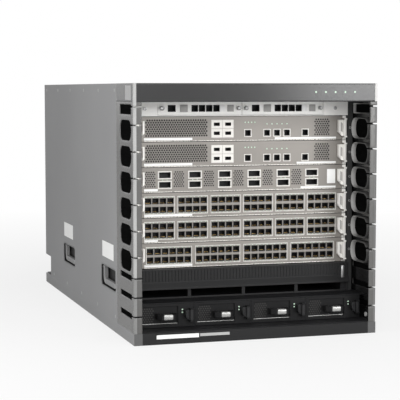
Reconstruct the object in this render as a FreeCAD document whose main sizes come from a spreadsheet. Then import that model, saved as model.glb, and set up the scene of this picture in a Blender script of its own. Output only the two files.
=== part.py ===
import FreeCAD, Part
import functools
import os
import re

import Sketcher

# A modular ethernet switch chassis, ten rack units high, in millimetres.
# The front looks along -Y, +Z is up, and the origin is the middle of the base.

# Driving sizes, one cell each
SIZES = {
    # sheet and fits
    "sheet_wall": 1.5,
    "fit_gap": 0.3,
    "slide_gap": 0.5,
    # the stack of heights, from the base up
    "base_height": 20,
    "base_lip": 12,
    "module_height": 40.5,
    "filter_height": 52.4,
    "slot_pitch": 44.45,
    "control_height": 23,
    "bezel_height": 31.6,
    # the widths, from a card out to the side panel
    "card_width": 399,
    "cage_gap": 3.5,
    "side_channel": 15,
    # the depths, from the front back
    "face_recess": 90,
    "board_depth": 430,
    "midplane_thick": 4,
    "rear_depth": 286.7,
    # side panels, cover and bezel
    "side_flange": 10,
    "rear_flange": 12,
    "bezel_wall": 3,
    # cable combs
    "comb_depth": 122,
    "comb_wall": 3,
    "comb_flange": 14,
    "comb_corner": 5,
    "window_inset": 16,
    "window_depth": 80,
    "window_height": 35,
    "window_corner": 16.5,
    "control_window": 17,
    "slit_height": 2.6,
    "slit_rise": 8,
    "slit_reach": 12,
    "low_slot_web": 23,
    # card cage and guides
    "rail_width": 10,
    "rail_set": 1,
    "rib_thick": 2.5,
    "rib_grip": 2.5,
    # cards
    "panel_gap": 1,
    "panel_thick": 2,
    "panel_lip": 8,
    "board_side": 2,
    "board_thick": 2.4,
    "board_rise": 6,
    "port_depth": 14,
    "cage_depth": 42,
    "cage_height": 29,
    "cage_width": 34,
    "sink_width": 92,
    "sink_depth": 92,
    "sink_height": 24,
    "sink_set": 150,
    "plug_width": 110,
    "plug_depth": 18,
    "plug_height": 20,
    # ports of the optical card
    "optical_group": 55.1,
    "optical_width": 21,
    "optical_height": 10.4,
    "optical_rows": 17,
    "optical_shift": -4.5,
    # ports of the copper cards, in blocks of four columns
    "copper_group": 61,
    "copper_step": 13.6,
    "copper_width": 11.8,
    "copper_height": 10.2,
    "copper_rows": 15,
    "copper_shift": 0,
    # ports of the dense card, in blocks of six columns
    "dense_group": 90,
    "dense_step": 13.8,
    "dense_width": 11.8,
    "dense_height": 10.8,
    "dense_rows": 15,
    "dense_shift": 0,
    # ports of the processor cards
    "pair_middle": -36.5,
    "pair_pitch": 21,
    "pair_rise": 8,
    "single_first": 11,
    "single_next": 47,
    "single_pitch": 19,
    "single_last": 120,
    # ejector levers and their pivots
    "pivot_inset": 5,
    "pivot_reach": 6,
    "pivot_radius": 1.6,
    "pivot_clear": 0.06,
    "lever_boss": 3.6,
    "lever_back": 3.4,
    "lever_reach": 13,
    "lever_height": 29,
    "lever_thick": 3.2,
    "lever_hook": 5,
    "lever_cut": 8,
    "ear_thick": 2.5,
    "ear_gap": 0.3,
    "ear_side": 3.6,
    # control modules
    "control_width": 154,
    "control_depth": 220,
    "jack_side": 11,
    "port_width": 13.2,
    "jack_depth": 12,
    "jack_pitch": 13.3,
    "jack_set": 67,
    "port_set": 25,
    # power modules and their inlets
    "module_recess": 40,
    "module_depth": 520,
    "module_face": 3,
    "module_rim": 4,
    "grip_width": 36,
    "grip_reach": 20,
    "grip_bar": 7,
    "grip_height": 9,
    "latch_reach": 12,
    "latch_height": 18,
    "notch_depth": 58,
    "inlet_width": 30,
    "inlet_height": 24,
    "inlet_depth": 22,
    "inlet_wall": 2,
    "inlet_flange": 5,
    # intake filter
    "filter_proud": 10,
    "filter_depth": 130,
    "filter_wall": 3,
    "intake_height": 14,
    "intake_web": 6,
    "filter_rail": 14,
    "filter_lip": 6,
    # carry handles on the sides
    "cup_set": 8,
    "handle_pitch": 358,
    "cup_rise": 6,
    "cup_length": 122,
    "cup_height": 42,
    "cup_depth": 14.2,
    "cup_wall": 2,
    "cup_corner": 10,
    "bail_length": 104,
    "bail_drop": 29,
    "bail_bar": 9,
    "bail_thick": 7,
    "bail_corner": 14,
    "hinge_drop": 8,
    "hinge_radius": 3,
    # fabric modules, fan trays and rotors at the rear
    "fabric_pitch": 23,
    "fabric_board": 2,
    "tray_depth": 110,
    "tray_wall": 2,
    "fan_margin": 8.75,
    "fan_pitch": 168,
    "spider_bar": 7,
    "spider_thick": 4,
    "spider_hub": 24,
    "spider_boss": 8,
    "shaft_radius": 3,
    "shaft_length": 44,
    "hub_radius": 28,
    "hub_depth": 34,
    "blade_gap": 6,
    "blade_lead": 10,
    "blade_chord": 14,
    "blade_thick": 2.2,
    "blade_sunk": 7,
}

# Cards in the slots from the top down: name, kind of port, groups of ports, columns in a group
CARDS = (
    ("processor_card_1", None, 0, 0),
    ("processor_card_2", None, 0, 0),
    ("line_card_1", "optical", 6, 1),
    ("line_card_2", "copper", 6, 4),
    ("line_card_3", "copper", 6, 4),
    ("line_card_4", "dense", 4, 6),
)
POWER_MODULES = 4
FABRIC_MODULES = 6
CONTROL_MODULES = 2
JACKS = 4
INTAKE_SLOTS = 4
LOW_SLOTS = 3
BLADES = 5

# Sides of a pin, a fan hub and a fan opening, and straight steps in a rounded corner, kept few
PIN_SIDES = 6
HUB_SIDES = 10
FAN_SIDES = 30
CORNER_STEPS = 3
SIDES = (("left", -1), ("right", 1))

# Lengths and directions closer than this count as the same
SAME = 0.01

# Sizes that follow from the driving ones
FORMULAS = {
    "half_width": "card_width/2 + cage_gap + side_channel + 2*sheet_wall",
    "chassis_depth": "face_recess + panel_thick + board_depth + fit_gap + midplane_thick + rear_depth",
    "front_y": "-chassis_depth/2",
    "rear_y": "chassis_depth/2",
    "face_y": "front_y + face_recess",
    "midplane_y": "face_y + panel_thick + board_depth + fit_gap",
    "comb_y": "front_y + comb_depth",
    "notch_y": "rear_y - notch_depth",
    "bay_floor": "base_height + sheet_wall",
    "shelf_z": "bay_floor + module_height + 2*slide_gap",
    "shelf_top": "shelf_z + sheet_wall",
    "cards_z": "shelf_top + filter_height + 2*slide_gap",
    "control_z": f"cards_z + {len(CARDS)}*slot_pitch + fit_gap",
    "control_floor": "control_z + sheet_wall",
    "bezel_z": "control_floor + control_height + 2*slide_gap",
    "top_z": "bezel_z + bezel_height",
    "cage_x": "card_width/2 + cage_gap",
    "rail_y": "face_y + rail_set",
    "panel_height": "slot_pitch - panel_gap",
    "half_board": "card_width/2 - board_side",
    "pivot_x": "card_width/2 - pivot_inset",
    "bay_half": "half_width - comb_flange - fit_gap",
    "bay_front": "front_y + module_recess",
    "floor_front": "front_y + comb_wall + fit_gap",
    "module_pitch": f"2*bay_half/{POWER_MODULES}",
    "module_width": "module_pitch - sheet_wall - 2*slide_gap",
    "half_bay": "half_width - comb_wall - fit_gap",
    "fabric_half": f"{FABRIC_MODULES}*fabric_pitch/2",
    "tray_low": "shelf_top + slide_gap",
    "tray_high": "top_z - sheet_wall - rear_flange - slide_gap",
    "tray_in": "fabric_half + slide_gap",
    "tray_out": "half_width - sheet_wall - slide_gap",
    "handle_z": "shelf_top + cup_rise + cup_height/2",
    "handle_y": "comb_y + cup_set + cup_length/2",
    "hinge_x": "half_width - hinge_radius - bail_thick/2",
    "hinge_z": "handle_z + cup_height/2 - hinge_drop",
    "low_pitch": f"(cards_z - base_height)/{LOW_SLOTS}",
    "inlet_z": "(bay_floor + shelf_z)/2",
    "pivot_bore": f"(pivot_radius + pivot_clear)/cos({180 / PIN_SIDES})",
    "hinge_bore": f"(hinge_radius + pivot_clear)/cos({180 / PIN_SIDES})",
    "blade_root": "hub_radius - blade_sunk",
    "latch_x": "module_width/2 - pivot_inset",
    "fan_x": "(tray_in + tray_out)/2",
    "fan_radius": "(tray_out - tray_in)/2 - fan_margin",
    "fan_low": "(tray_low + tray_high - fan_pitch)/2",
    "fan_high": "fan_low + fan_pitch",
}

doc = FreeCAD.newDocument("switch_chassis")
sheet = doc.addObject("Spreadsheet::Sheet", "Sizes")
for row, (alias, number) in enumerate(SIZES.items(), 1):
    sheet.set(f"A{row}", alias)
    sheet.set(f"B{row}", str(number))
    sheet.setAlias(f"B{row}", alias)
gauge = doc.addObject("Part::Vertex", "Gauge")
ALONG_Y = FreeCAD.Vector(0, 1, 0)
ALONG_Z = FreeCAD.Vector(0, 0, 1)
doc.recompute()
nodes = {}


@functools.lru_cache(maxsize=None)
def tied(formula):
    """A formula written out in cells of the sheet."""
    def cell(match):
        word = match.group()
        if word in FORMULAS:
            return "(" + tied(FORMULAS[word]) + ")"
        return "Sizes." + word if word in SIZES else word
    return re.sub(r"[a-z][a-z_]*", cell, str(formula))


@functools.lru_cache(maxsize=None)
def size(formula):
    """The number that a formula comes to."""
    gauge.setExpression("X", tied(formula))
    gauge.recompute()
    return float(gauge.X)


def hold(thing, field, formula):
    thing.setExpression(field, tied(formula))


def place(thing, x, y, z):
    for axis, formula in zip("xyz", (x, y, z)):
        hold(thing, f"Placement.Base.{axis}", formula)


def new_body(label, keep=True):
    body = doc.addObject("PartDesign::Body", label)
    body.Label = label
    if keep:
        nodes[label] = body
    return body


def origin(body, role):
    return next(item for item in body.Origin.OriginFeatures if item.Role == role)


def new_sketch(body, plane, offset="0"):
    """A sketch on an origin plane; XY looks up +Z, XZ along -Y, YZ along +X."""
    sketch = body.newObject("Sketcher::SketchObject", "Sketch")
    sketch.AttachmentSupport = (origin(body, plane + "_Plane"), [""])
    sketch.MapMode = "FlatFace"
    if offset != "0":
        hold(sketch, "AttachmentOffset.Base.z", offset)
    return sketch


def hold_point(sketch, edge, end, x, y):
    for kind, formula in (("DistanceX", x), ("DistanceY", y)):
        index = sketch.addConstraint(Sketcher.Constraint(kind, -1, 1, edge, end, size(formula)))
        sketch.setExpression(f"Constraints[{index}]", tied(formula))


def outline(sketch, corners):
    """A closed run of straight lines through corners given as formulas."""
    first = sketch.GeometryCount
    points = [FreeCAD.Vector(size(x), size(y), 0) for x, y in corners]
    count = len(points)
    for index in range(count):
        line = Part.LineSegment(points[index], points[(index + 1) % count])
        sketch.addGeometry(line, False)
    for index in range(count):
        after = first + (index + 1) % count
        sketch.addConstraint(Sketcher.Constraint("Coincident", first + index, 2, after, 1))
    for index, (x, y) in enumerate(corners):
        hold_point(sketch, first + index, 1, x, y)


def rectangle(sketch, x_low, y_low, x_high, y_high):
    outline(sketch, [(x_low, y_low), (x_high, y_low), (x_high, y_high), (x_low, y_high)])


def soft_corner(x, y, inward_x, inward_y, radius):
    """Points round a corner in straight steps, from its upright side to its level side."""
    turns = [90 * step / CORNER_STEPS for step in range(CORNER_STEPS + 1)]
    return [(f"{x} + {inward_x}*{radius}*(1 - cos({turn}))", f"{y} + {inward_y}*{radius}*(1 - sin({turn}))")
            for turn in turns]


def soft_rectangle(sketch, x_low, y_low, x_high, y_high, radius):
    outline(sketch, soft_corner(x_low, y_low, 1, 1, radius)
            + soft_corner(x_high, y_low, -1, 1, radius)[::-1]
            + soft_corner(x_high, y_high, -1, -1, radius)
            + soft_corner(x_low, y_high, 1, -1, radius)[::-1])


def many_sided(sketch, x, y, radius, sides):
    turns = [360 * (step + 0.5) / sides for step in range(sides)]
    outline(sketch, [(f"{x} + {radius}*cos({turn})", f"{y} + {radius}*sin({turn})") for turn in turns])


def circle(sketch, x, y, radius):
    middle = FreeCAD.Vector(size(x), size(y), 0)
    edge = sketch.addGeometry(Part.Circle(middle, ALONG_Z, size(radius)), False)
    index = sketch.addConstraint(Sketcher.Constraint("Radius", edge, size(radius)))
    sketch.setExpression(f"Constraints[{index}]", tied(radius))
    hold_point(sketch, edge, 3, x, y)


def pad(body, sketch, length, back=False, both=False):
    feature = body.newObject("PartDesign::Pad", "Pad")
    feature.Profile = sketch
    hold(feature, "Length", length)
    feature.Reversed = back
    feature.Midplane = both
    return feature


def pocket(body, sketch, length=None, back=False):
    """Cut a sketch into the body, right through where no length is given."""
    doc.recompute()
    before = body.Shape.Volume
    feature = body.newObject("PartDesign::Pocket", "Pocket")
    feature.Profile = sketch
    if length is None:
        feature.Type = "ThroughAll"
        feature.Midplane = True
    else:
        hold(feature, "Length", length)
        feature.Reversed = back
    doc.recompute()
    if body.Shape.Volume > before - SAME:
        raise RuntimeError(body.Label + ": a pocket cuts nothing")
    return feature


def pattern(body, features, axis, reach, count, axis_2=None, reach_2=None, count_2=1):
    feature = body.newObject("PartDesign::LinearPattern", "Pattern")
    feature.Originals = features
    feature.Direction = (origin(body, axis + "_Axis"), [""])
    hold(feature, "Length", reach)
    feature.Occurrences = count
    if axis_2:
        feature.Direction2 = (origin(body, axis_2 + "_Axis"), [""])
        hold(feature, "Length2", reach_2)
        feature.Occurrences2 = count_2
    body.Tip = feature
    return feature


def round_edges(body, radius, axis, wanted):
    """Fillet the straight edges along an axis whose middle passes a test."""
    doc.recompute()
    base = body.Tip
    names = []
    for number, edge in enumerate(base.Shape.Edges, 1):
        if edge.Curve.TypeId != "Part::GeomLine":
            continue
        if edge.Curve.Direction.cross(axis).Length < SAME and wanted(edge.CenterOfMass):
            names.append(f"Edge{number}")
    if not names:
        raise RuntimeError(body.Label + ": no edge to round")
    fillet = body.newObject("PartDesign::Fillet", "Fillet")
    fillet.Base = (base, names)
    hold(fillet, "Radius", radius)
    body.Tip = fillet


def near(number, *targets):
    return any(abs(number - target) < SAME for target in targets)


def block(name, low, high):
    """A box between two corners given as formulas."""
    box = doc.addObject("Part::Box", name)
    for field, start, end in zip(("Length", "Width", "Height"), low, high):
        hold(box, field, f"({end}) - ({start})")
    place(box, *low)
    return box


def group(label, things):
    """Like pieces that share a node as separate solids."""
    bunch = doc.addObject("Part::Compound", label)
    bunch.Label = label
    bunch.Links = things
    nodes[label] = bunch


def fused(label, things):
    """Pieces fixed for good to their carrier, as one solid."""
    whole = doc.addObject("Part::MultiFuse", label)
    whole.Label = label
    whole.Shapes = things
    whole.Refine = True
    nodes[label] = whole


# Base tray: a shallow folded pan with a lip turned in round its rim
def base_tray():
    body = new_body("base_tray")
    plan = new_sketch(body, "XY")
    rectangle(plan, "-half_width", "front_y", "half_width", "rear_y")
    pad(body, plan, "base_height")
    hollow = new_sketch(body, "XY", "base_height")
    rectangle(hollow, "sheet_wall - half_width", "front_y + sheet_wall",
              "half_width - sheet_wall", "rear_y - sheet_wall")
    pocket(body, hollow, "base_height - sheet_wall")
    lip = new_sketch(body, "XY", "base_height - sheet_wall")
    rectangle(lip, "-half_width", "front_y", "half_width", "rear_y")
    rectangle(lip, "base_lip - half_width", "front_y + base_lip",
              "half_width - base_lip", "rear_y - base_lip")
    pad(body, lip, "sheet_wall")


# Power bay: a folded floor, back wall and shelf with upright fins between the modules
def power_bay():
    body = new_body("power_bay")
    section = new_sketch(body, "YZ")
    outline(section, [
        ("floor_front", "base_height"), ("rear_y", "base_height"), ("rear_y", "bay_floor"),
        ("notch_y", "bay_floor"), ("notch_y", "shelf_z"), ("rear_y", "shelf_z"),
        ("rear_y", "shelf_top"), ("bay_front", "shelf_top"), ("bay_front", "shelf_z"),
        ("notch_y - sheet_wall", "shelf_z"), ("notch_y - sheet_wall", "bay_floor"),
        ("floor_front", "bay_floor")])
    pad(body, section, "2*half_bay", both=True)
    fin = new_sketch(body, "XY", "base_height")
    rectangle(fin, "-bay_half - sheet_wall/2", "bay_front",
              "sheet_wall/2 - bay_half", "notch_y - sheet_wall")
    fins = pad(body, fin, "shelf_top - base_height")
    pattern(body, [fins], "X", f"{POWER_MODULES}*module_pitch", POWER_MODULES + 1)
    doc.recompute()
    holes = new_sketch(body, "XZ", "-notch_y")
    for index in range(POWER_MODULES):
        middle = module_x(index)
        rectangle(holes, f"{middle} - inlet_width/2 - fit_gap", "inlet_z - inlet_height/2 - fit_gap",
                  f"{middle} + inlet_width/2 + fit_gap", "inlet_z + inlet_height/2 + fit_gap")
    pocket(body, holes, "2*sheet_wall", back=True)


def module_x(index):
    return f"({index} - {(POWER_MODULES - 1) / 2})*module_pitch"


# Power inlets: moulded sockets, flanged against the outside of the bay's back wall
def power_inlets():
    inlets = []
    for index in range(POWER_MODULES):
        body = new_body(f"power_inlet_{index + 1}", keep=False)
        flange = new_sketch(body, "XZ")
        rectangle(flange, "-inlet_width/2 - inlet_flange", "-inlet_height/2 - inlet_flange",
                  "inlet_width/2 + inlet_flange", "inlet_height/2 + inlet_flange")
        pad(body, flange, "inlet_wall", back=True)
        housing = new_sketch(body, "XZ")
        rectangle(housing, "-inlet_width/2", "-inlet_height/2", "inlet_width/2", "inlet_height/2")
        pad(body, housing, "inlet_depth")
        cavity = new_sketch(body, "XZ", "-inlet_wall")
        rectangle(cavity, "inlet_wall - inlet_width/2", "inlet_wall - inlet_height/2",
                  "inlet_width/2 - inlet_wall", "inlet_height/2 - inlet_wall")
        pocket(body, cavity, "inlet_depth", back=True)
        place(body, module_x(index), "notch_y", "inlet_z")
        inlets.append(body)
    group("power_inlets", inlets)


# Side panels: flat sheet with a rear notch for the inlets and a flange under the cover
def side_panel(name, side):
    body = new_body(name + "_side_panel")
    inward = side > 0
    face = new_sketch(body, "YZ", f"{side}*half_width")
    outline(face, [
        ("comb_y + fit_gap", "base_height"), ("notch_y", "base_height"), ("notch_y", "shelf_z"),
        ("rear_y", "shelf_z"), ("rear_y", "top_z"), ("comb_y + fit_gap", "top_z")])
    pad(body, face, "sheet_wall", back=inward)
    flange = new_sketch(body, "YZ", f"{side}*(half_width - sheet_wall)")
    rectangle(flange, "comb_y + fit_gap", "top_z - 2*sheet_wall",
              "rear_y - sheet_wall - fit_gap", "top_z - sheet_wall")
    pad(body, flange, "side_flange", back=inward)
    window = new_sketch(body, "YZ", f"{side}*half_width")
    for middle in ("handle_y", "handle_y + handle_pitch"):
        soft_rectangle(window, f"{middle} - cup_length/2 - fit_gap", "handle_z - cup_height/2 - fit_gap",
                       f"{middle} + cup_length/2 + fit_gap", "handle_z + cup_height/2 + fit_gap",
                       "(cup_corner + fit_gap)")
    pocket(body, window)


# Top cover: one sheet with its rear edge folded down
def top_cover():
    body = new_body("top_cover")
    section = new_sketch(body, "YZ")
    outline(section, [
        ("front_y + bezel_wall + fit_gap", "top_z"), ("front_y + bezel_wall + fit_gap", "top_z - sheet_wall"),
        ("rear_y - sheet_wall", "top_z - sheet_wall"),
        ("rear_y - sheet_wall", "top_z - sheet_wall - rear_flange"),
        ("rear_y", "top_z - sheet_wall - rear_flange"), ("rear_y", "top_z")])
    pad(body, section, "2*(half_width - bezel_wall - fit_gap)", both=True)


# Card cage walls: folded sheet with a front rail and a pair of guide ribs for each slot
def cage_wall(name, side):
    body = new_body(f"cage_{name}_wall")
    plan = new_sketch(body, "XY", "shelf_top")
    wall_end = "midplane_y + midplane_thick"
    outline(plan, [
        (f"{side}*cage_x", "rail_y"), (f"{side}*(cage_x + rail_width)", "rail_y"),
        (f"{side}*(cage_x + rail_width)", "rail_y + sheet_wall"),
        (f"{side}*(cage_x + sheet_wall)", "rail_y + sheet_wall"),
        (f"{side}*(cage_x + sheet_wall)", wall_end), (f"{side}*cage_x", wall_end)])
    pad(body, plan, "bezel_z - shelf_top")
    ribs = new_sketch(body, "YZ", f"{side}*cage_x")
    rib_start = "face_y + panel_thick + panel_lip + slide_gap"
    rib_end = "midplane_y - plug_depth - slide_gap"
    under = "cards_z + board_rise - fit_gap"
    over = "cards_z + board_rise + board_thick + fit_gap"
    rectangle(ribs, rib_start, f"{under} - rib_thick", rib_end, under)
    rectangle(ribs, rib_start, over, rib_end, f"{over} + rib_thick")
    pair = pad(body, ribs, "cage_x - half_board + rib_grip", back=side > 0)
    pattern(body, [pair], "Z", f"{len(CARDS) - 1}*slot_pitch", len(CARDS))


# Control shelf: carries the control modules, with its ends turned up as blank plates
def control_shelf():
    body = new_body("control_shelf")
    half_span = "cage_x - fit_gap"
    plan = new_sketch(body, "XY", "control_z")
    rectangle(plan, f"-({half_span})", "face_y", half_span, "face_y + control_depth")
    pad(body, plan, "sheet_wall")
    blanks = new_sketch(body, "XZ", "-face_y")
    edge = "control_width + 2*slide_gap"
    top = "bezel_z - slide_gap"
    rectangle(blanks, f"-({half_span})", "control_z", f"-({edge})", top)
    rectangle(blanks, edge, "control_z", half_span, top)
    pad(body, blanks, "sheet_wall", back=True)


# Midplane: the circuit board that the cards and the rear modules plug into
def midplane_board():
    body = new_body("midplane_board")
    face = new_sketch(body, "XZ", "-midplane_y")
    half_span = "cage_x - fit_gap"
    rectangle(face, f"-({half_span})", "cards_z", half_span, "bezel_z")
    pad(body, face, "midplane_thick", back=True)


# Front bezel: a moulded hood, open behind
def front_bezel():
    body = new_body("front_bezel")
    plan = new_sketch(body, "XY", "bezel_z")
    outline(plan, [("-half_width", "comb_y")]
            + soft_corner("-half_width", "front_y", 1, 1, "comb_corner")
            + soft_corner("half_width", "front_y", -1, 1, "comb_corner")[::-1]
            + [("half_width", "comb_y")])
    pad(body, plan, "bezel_height")
    hollow = new_sketch(body, "XY", "top_z")
    rectangle(hollow, "bezel_wall - half_width", "front_y + bezel_wall",
              "half_width - bezel_wall", "comb_y + bezel_wall")
    pocket(body, hollow, "bezel_height - bezel_wall")


# Cable combs: moulded side guards, a rounded window and a slit finger beside each slot
def cable_comb(name, side):
    body = new_body(name + "_cable_comb")
    wall = f"{side}*half_width"
    plan = new_sketch(body, "XY", "base_height")
    outline(plan, [(f"{side}*(half_width - comb_flange)", "front_y")]
            + soft_corner(wall, "front_y", -side, 1, "comb_corner")[::-1]
            + [(wall, "comb_y"), (f"{side}*(half_width - comb_wall)", "comb_y"),
               (f"{side}*(half_width - comb_wall)", "front_y + comb_wall"),
               (f"{side}*(half_width - comb_flange)", "front_y + comb_wall")])
    pad(body, plan, "bezel_z - base_height")

    start = "front_y + window_inset"
    end = "front_y + window_inset + window_depth"
    low = "cards_z + (slot_pitch - window_height)/2"
    window = new_sketch(body, "YZ", wall)
    soft_rectangle(window, start, low, end, f"{low} + window_height", "window_corner")
    cut = pocket(body, window)
    pattern(body, [cut], "Z", f"{len(CARDS) - 1}*slot_pitch", len(CARDS))
    doc.recompute()

    slit = new_sketch(body, "YZ", wall)
    slit_low = f"{low} + window_height/2 + slit_rise"
    rectangle(slit, "front_y - slit_reach", slit_low,
              f"{start} + slit_reach", f"{slit_low} + slit_height")
    cut = pocket(body, slit)
    pattern(body, [cut], "Z", f"{len(CARDS) - 1}*slot_pitch", len(CARDS))
    doc.recompute()

    top_window = new_sketch(body, "YZ", wall)
    top_low = "control_floor + (control_height - control_window)/2"
    rectangle(top_window, start, top_low, end, f"{top_low} + control_window")
    pocket(body, top_window)
    top_slit = new_sketch(body, "YZ", wall)
    top_slit_low = f"{top_low} + control_window - 2*slit_height"
    rectangle(top_slit, "front_y - slit_reach", top_slit_low,
              f"{start} + slit_reach", f"{top_slit_low} + slit_height")
    pocket(body, top_slit)

    slot = new_sketch(body, "YZ", wall)
    rectangle(slot, start, "base_height + low_slot_web", end, "base_height + low_pitch")
    cut = pocket(body, slot)
    finger = new_sketch(body, "YZ", wall)
    rectangle(finger, "front_y - slit_reach", "base_height + low_pitch - 2*slit_height",
              f"{start} + slit_reach", "base_height + low_pitch - slit_height")
    slit_cut = pocket(body, finger)
    pattern(body, [cut, slit_cut], "Z", f"{LOW_SLOTS - 1}*low_pitch", LOW_SLOTS)


# Handle cups: moulded trays let into the side panels, drilled for the bail's rod
def handle_cups():
    cups = []
    for name, side in SIDES:
        for middle in ("handle_y", "handle_y + handle_pitch"):
            body = new_body(f"{name}_cup_{len(cups) + 1}", keep=False)
            outer = new_sketch(body, "YZ")
            soft_rectangle(outer, "-cup_length/2", "-cup_height/2", "cup_length/2", "cup_height/2",
                           "cup_corner")
            pad(body, outer, "cup_depth", back=side > 0)
            hollow = new_sketch(body, "YZ")
            soft_rectangle(hollow, "cup_wall - cup_length/2", "cup_wall - cup_height/2",
                           "cup_length/2 - cup_wall", "cup_height/2 - cup_wall", "(cup_corner - cup_wall)")
            pocket(body, hollow, "cup_depth - cup_wall", back=side < 0)
            hole = new_sketch(body, "XZ")
            many_sided(hole, f"{side}*(hinge_x - half_width)", "hinge_z - handle_z", "hinge_bore", PIN_SIDES)
            pocket(body, hole)
            place(body, f"{side}*half_width", middle, "handle_z")
            cups.append(body)
    group("handle_cups", cups)


# Carry handles: bails that hang in the cups on two stub pins, their tops rounded about the pins
def carry_handle(name, side, place_name, middle):
    body = new_body(f"{name}_{place_name}_handle")
    bail = new_sketch(body, "YZ")
    half = "bail_length/2"
    bar_top = "bail_bar - bail_drop"
    outline(bail, [(f"-{half}", "bail_thick/2")]
            + soft_corner(f"-{half}", "-bail_drop", 1, 1, "bail_corner")
            + soft_corner(half, "-bail_drop", -1, 1, "bail_corner")[::-1]
            + [(half, "bail_thick/2"), (f"{half} - bail_bar", "bail_thick/2"),
               (f"{half} - bail_bar", bar_top), (f"bail_bar - {half}", bar_top),
               (f"bail_bar - {half}", "bail_thick/2")])
    pad(body, bail, "bail_thick", both=True)
    round_edges(body, "bail_thick/2", ALONG_Y, lambda point: near(point.z, size("bail_thick/2"))
                and near(point.x, -side * size("bail_thick/2")))
    for start, back in ((half, False), (f"-{half}", True)):
        pin = new_sketch(body, "XZ", start)
        many_sided(pin, 0, 0, "hinge_radius", PIN_SIDES)
        pad(body, pin, "(cup_length - bail_length)/2 - fit_gap", back)
    place(body, f"{side}*hinge_x", middle, "hinge_z")


# Ears and pins that carry a lever in front of a plate, at the given places in X
def pivot_ears(body, places, middle_z, height):
    low = f"{middle_z} - {height}/2 - ear_gap - ear_thick"
    ears = new_sketch(body, "XY", low)
    for x in places:
        rectangle(ears, f"{x} - ear_side", "-pivot_reach - ear_side", f"{x} + ear_side", 0)
    lower = pad(body, ears, "ear_thick")
    pattern(body, [lower], "Z", f"{height} + 2*ear_gap + ear_thick", 2)
    doc.recompute()
    pins = new_sketch(body, "XY", low)
    for x in places:
        many_sided(pins, x, "-pivot_reach", "pivot_radius", PIN_SIDES)
    pad(body, pins, f"{height} + 2*ear_gap + 2*ear_thick")


# A lever: a bored boss rounded about its pin, an arm that lies along the plate and a hooked end
def lever(label, side, reach, height):
    body = new_body(label)
    inner = -side
    plan = new_sketch(body, "XY", f"-{height}/2")
    arm_front = "lever_back - lever_thick"
    hook_front = "lever_back - lever_thick - lever_hook"
    outline(plan, [
        (f"{side}*lever_boss", "lever_back"), (f"{side}*lever_boss", "-lever_boss"),
        (f"{inner}*lever_boss", "-lever_boss"), (f"{inner}*lever_boss", arm_front),
        (f"{inner}*({reach} - lever_thick)", arm_front), (f"{inner}*({reach} - lever_thick)", hook_front),
        (f"{inner}*{reach}", hook_front), (f"{inner}*{reach}", "lever_back")])
    pad(body, plan, height)
    round_edges(body, "lever_boss", ALONG_Z, lambda point: near(point.x, side * size("lever_boss"))
                and near(point.y, -size("lever_boss")))
    cut = new_sketch(body, "XZ")
    outline(cut, [
        (f"{inner}*({reach} - lever_cut)", f"-{height}/2 - ear_gap"),
        (f"{inner}*({reach} + ear_gap)", f"-{height}/2 - ear_gap"),
        (f"{inner}*({reach} + ear_gap)", f"lever_cut - {height}/2")])
    pocket(body, cut)
    bore = new_sketch(body, "XY")
    many_sided(bore, 0, 0, "pivot_bore", PIN_SIDES)
    pocket(body, bore)
    return body


def slot_z(slot):
    return f"cards_z + {len(CARDS) - 1 - slot}*slot_pitch + panel_gap/2"


# Card panels: folded faces with port openings and the ears for two levers
def card_panel(card, slot, kind, groups, columns):
    body = new_body(card + "_panel")
    section = new_sketch(body, "YZ")
    outline(section, [
        (0, 0), ("panel_thick + panel_lip", 0), ("panel_thick + panel_lip", "sheet_wall"),
        ("panel_thick", "sheet_wall"), ("panel_thick", "panel_height - sheet_wall"),
        ("panel_thick + panel_lip", "panel_height - sheet_wall"),
        ("panel_thick + panel_lip", "panel_height"), (0, "panel_height")])
    pad(body, section, "card_width", both=True)
    if kind:
        port_openings(body, kind, groups, columns)
    else:
        processor_openings(body)
    pivot_ears(body, ["-pivot_x", "pivot_x"], "panel_height/2", "lever_height")
    place(body, 0, "face_y", slot_z(slot))


def group_x(kind, groups, index):
    return f"{kind}_shift + {index - (groups - 1) / 2}*{kind}_group"


def group_span(kind, columns):
    """From the first column of a group to the last."""
    return f"{columns - 1}*{kind}_step" if columns > 1 else "0"


def port_openings(body, kind, groups, columns):
    first = new_sketch(body, "XZ")
    low = f"(panel_height - {kind}_rows - {kind}_height)/2"
    for index in range(groups):
        middle = f"{group_x(kind, groups, index)} - {group_span(kind, columns)}/2"
        rectangle(first, f"{middle} - {kind}_width/2", low,
                  f"{middle} + {kind}_width/2", f"{low} + {kind}_height")
    cut = pocket(body, first)
    if columns > 1:
        pattern(body, [cut], "X", group_span(kind, columns), columns, "Z", f"{kind}_rows", 2)
    else:
        pattern(body, [cut], "Z", f"{kind}_rows", 2)


# Processor card openings: two pairs of ports one above the other, five single ports low down
SINGLE_PORTS = ("single_first", "single_next", "single_next + single_pitch",
                "single_next + 2*single_pitch", "single_last")


def processor_openings(body):
    ports = new_sketch(body, "XZ")
    low, high = "panel_height/2 - pair_rise", "panel_height/2 + pair_rise"
    places = [(x, low) for x in SINGLE_PORTS]
    for x in ("pair_middle - pair_pitch/2", "pair_middle + pair_pitch/2"):
        places += [(x, low), (x, high)]
    for x, z in places:
        rectangle(ports, f"{x} - jack_side/2", f"{z} - jack_side/2",
                  f"{x} + jack_side/2", f"{z} + jack_side/2")
    pocket(body, ports)


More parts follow.
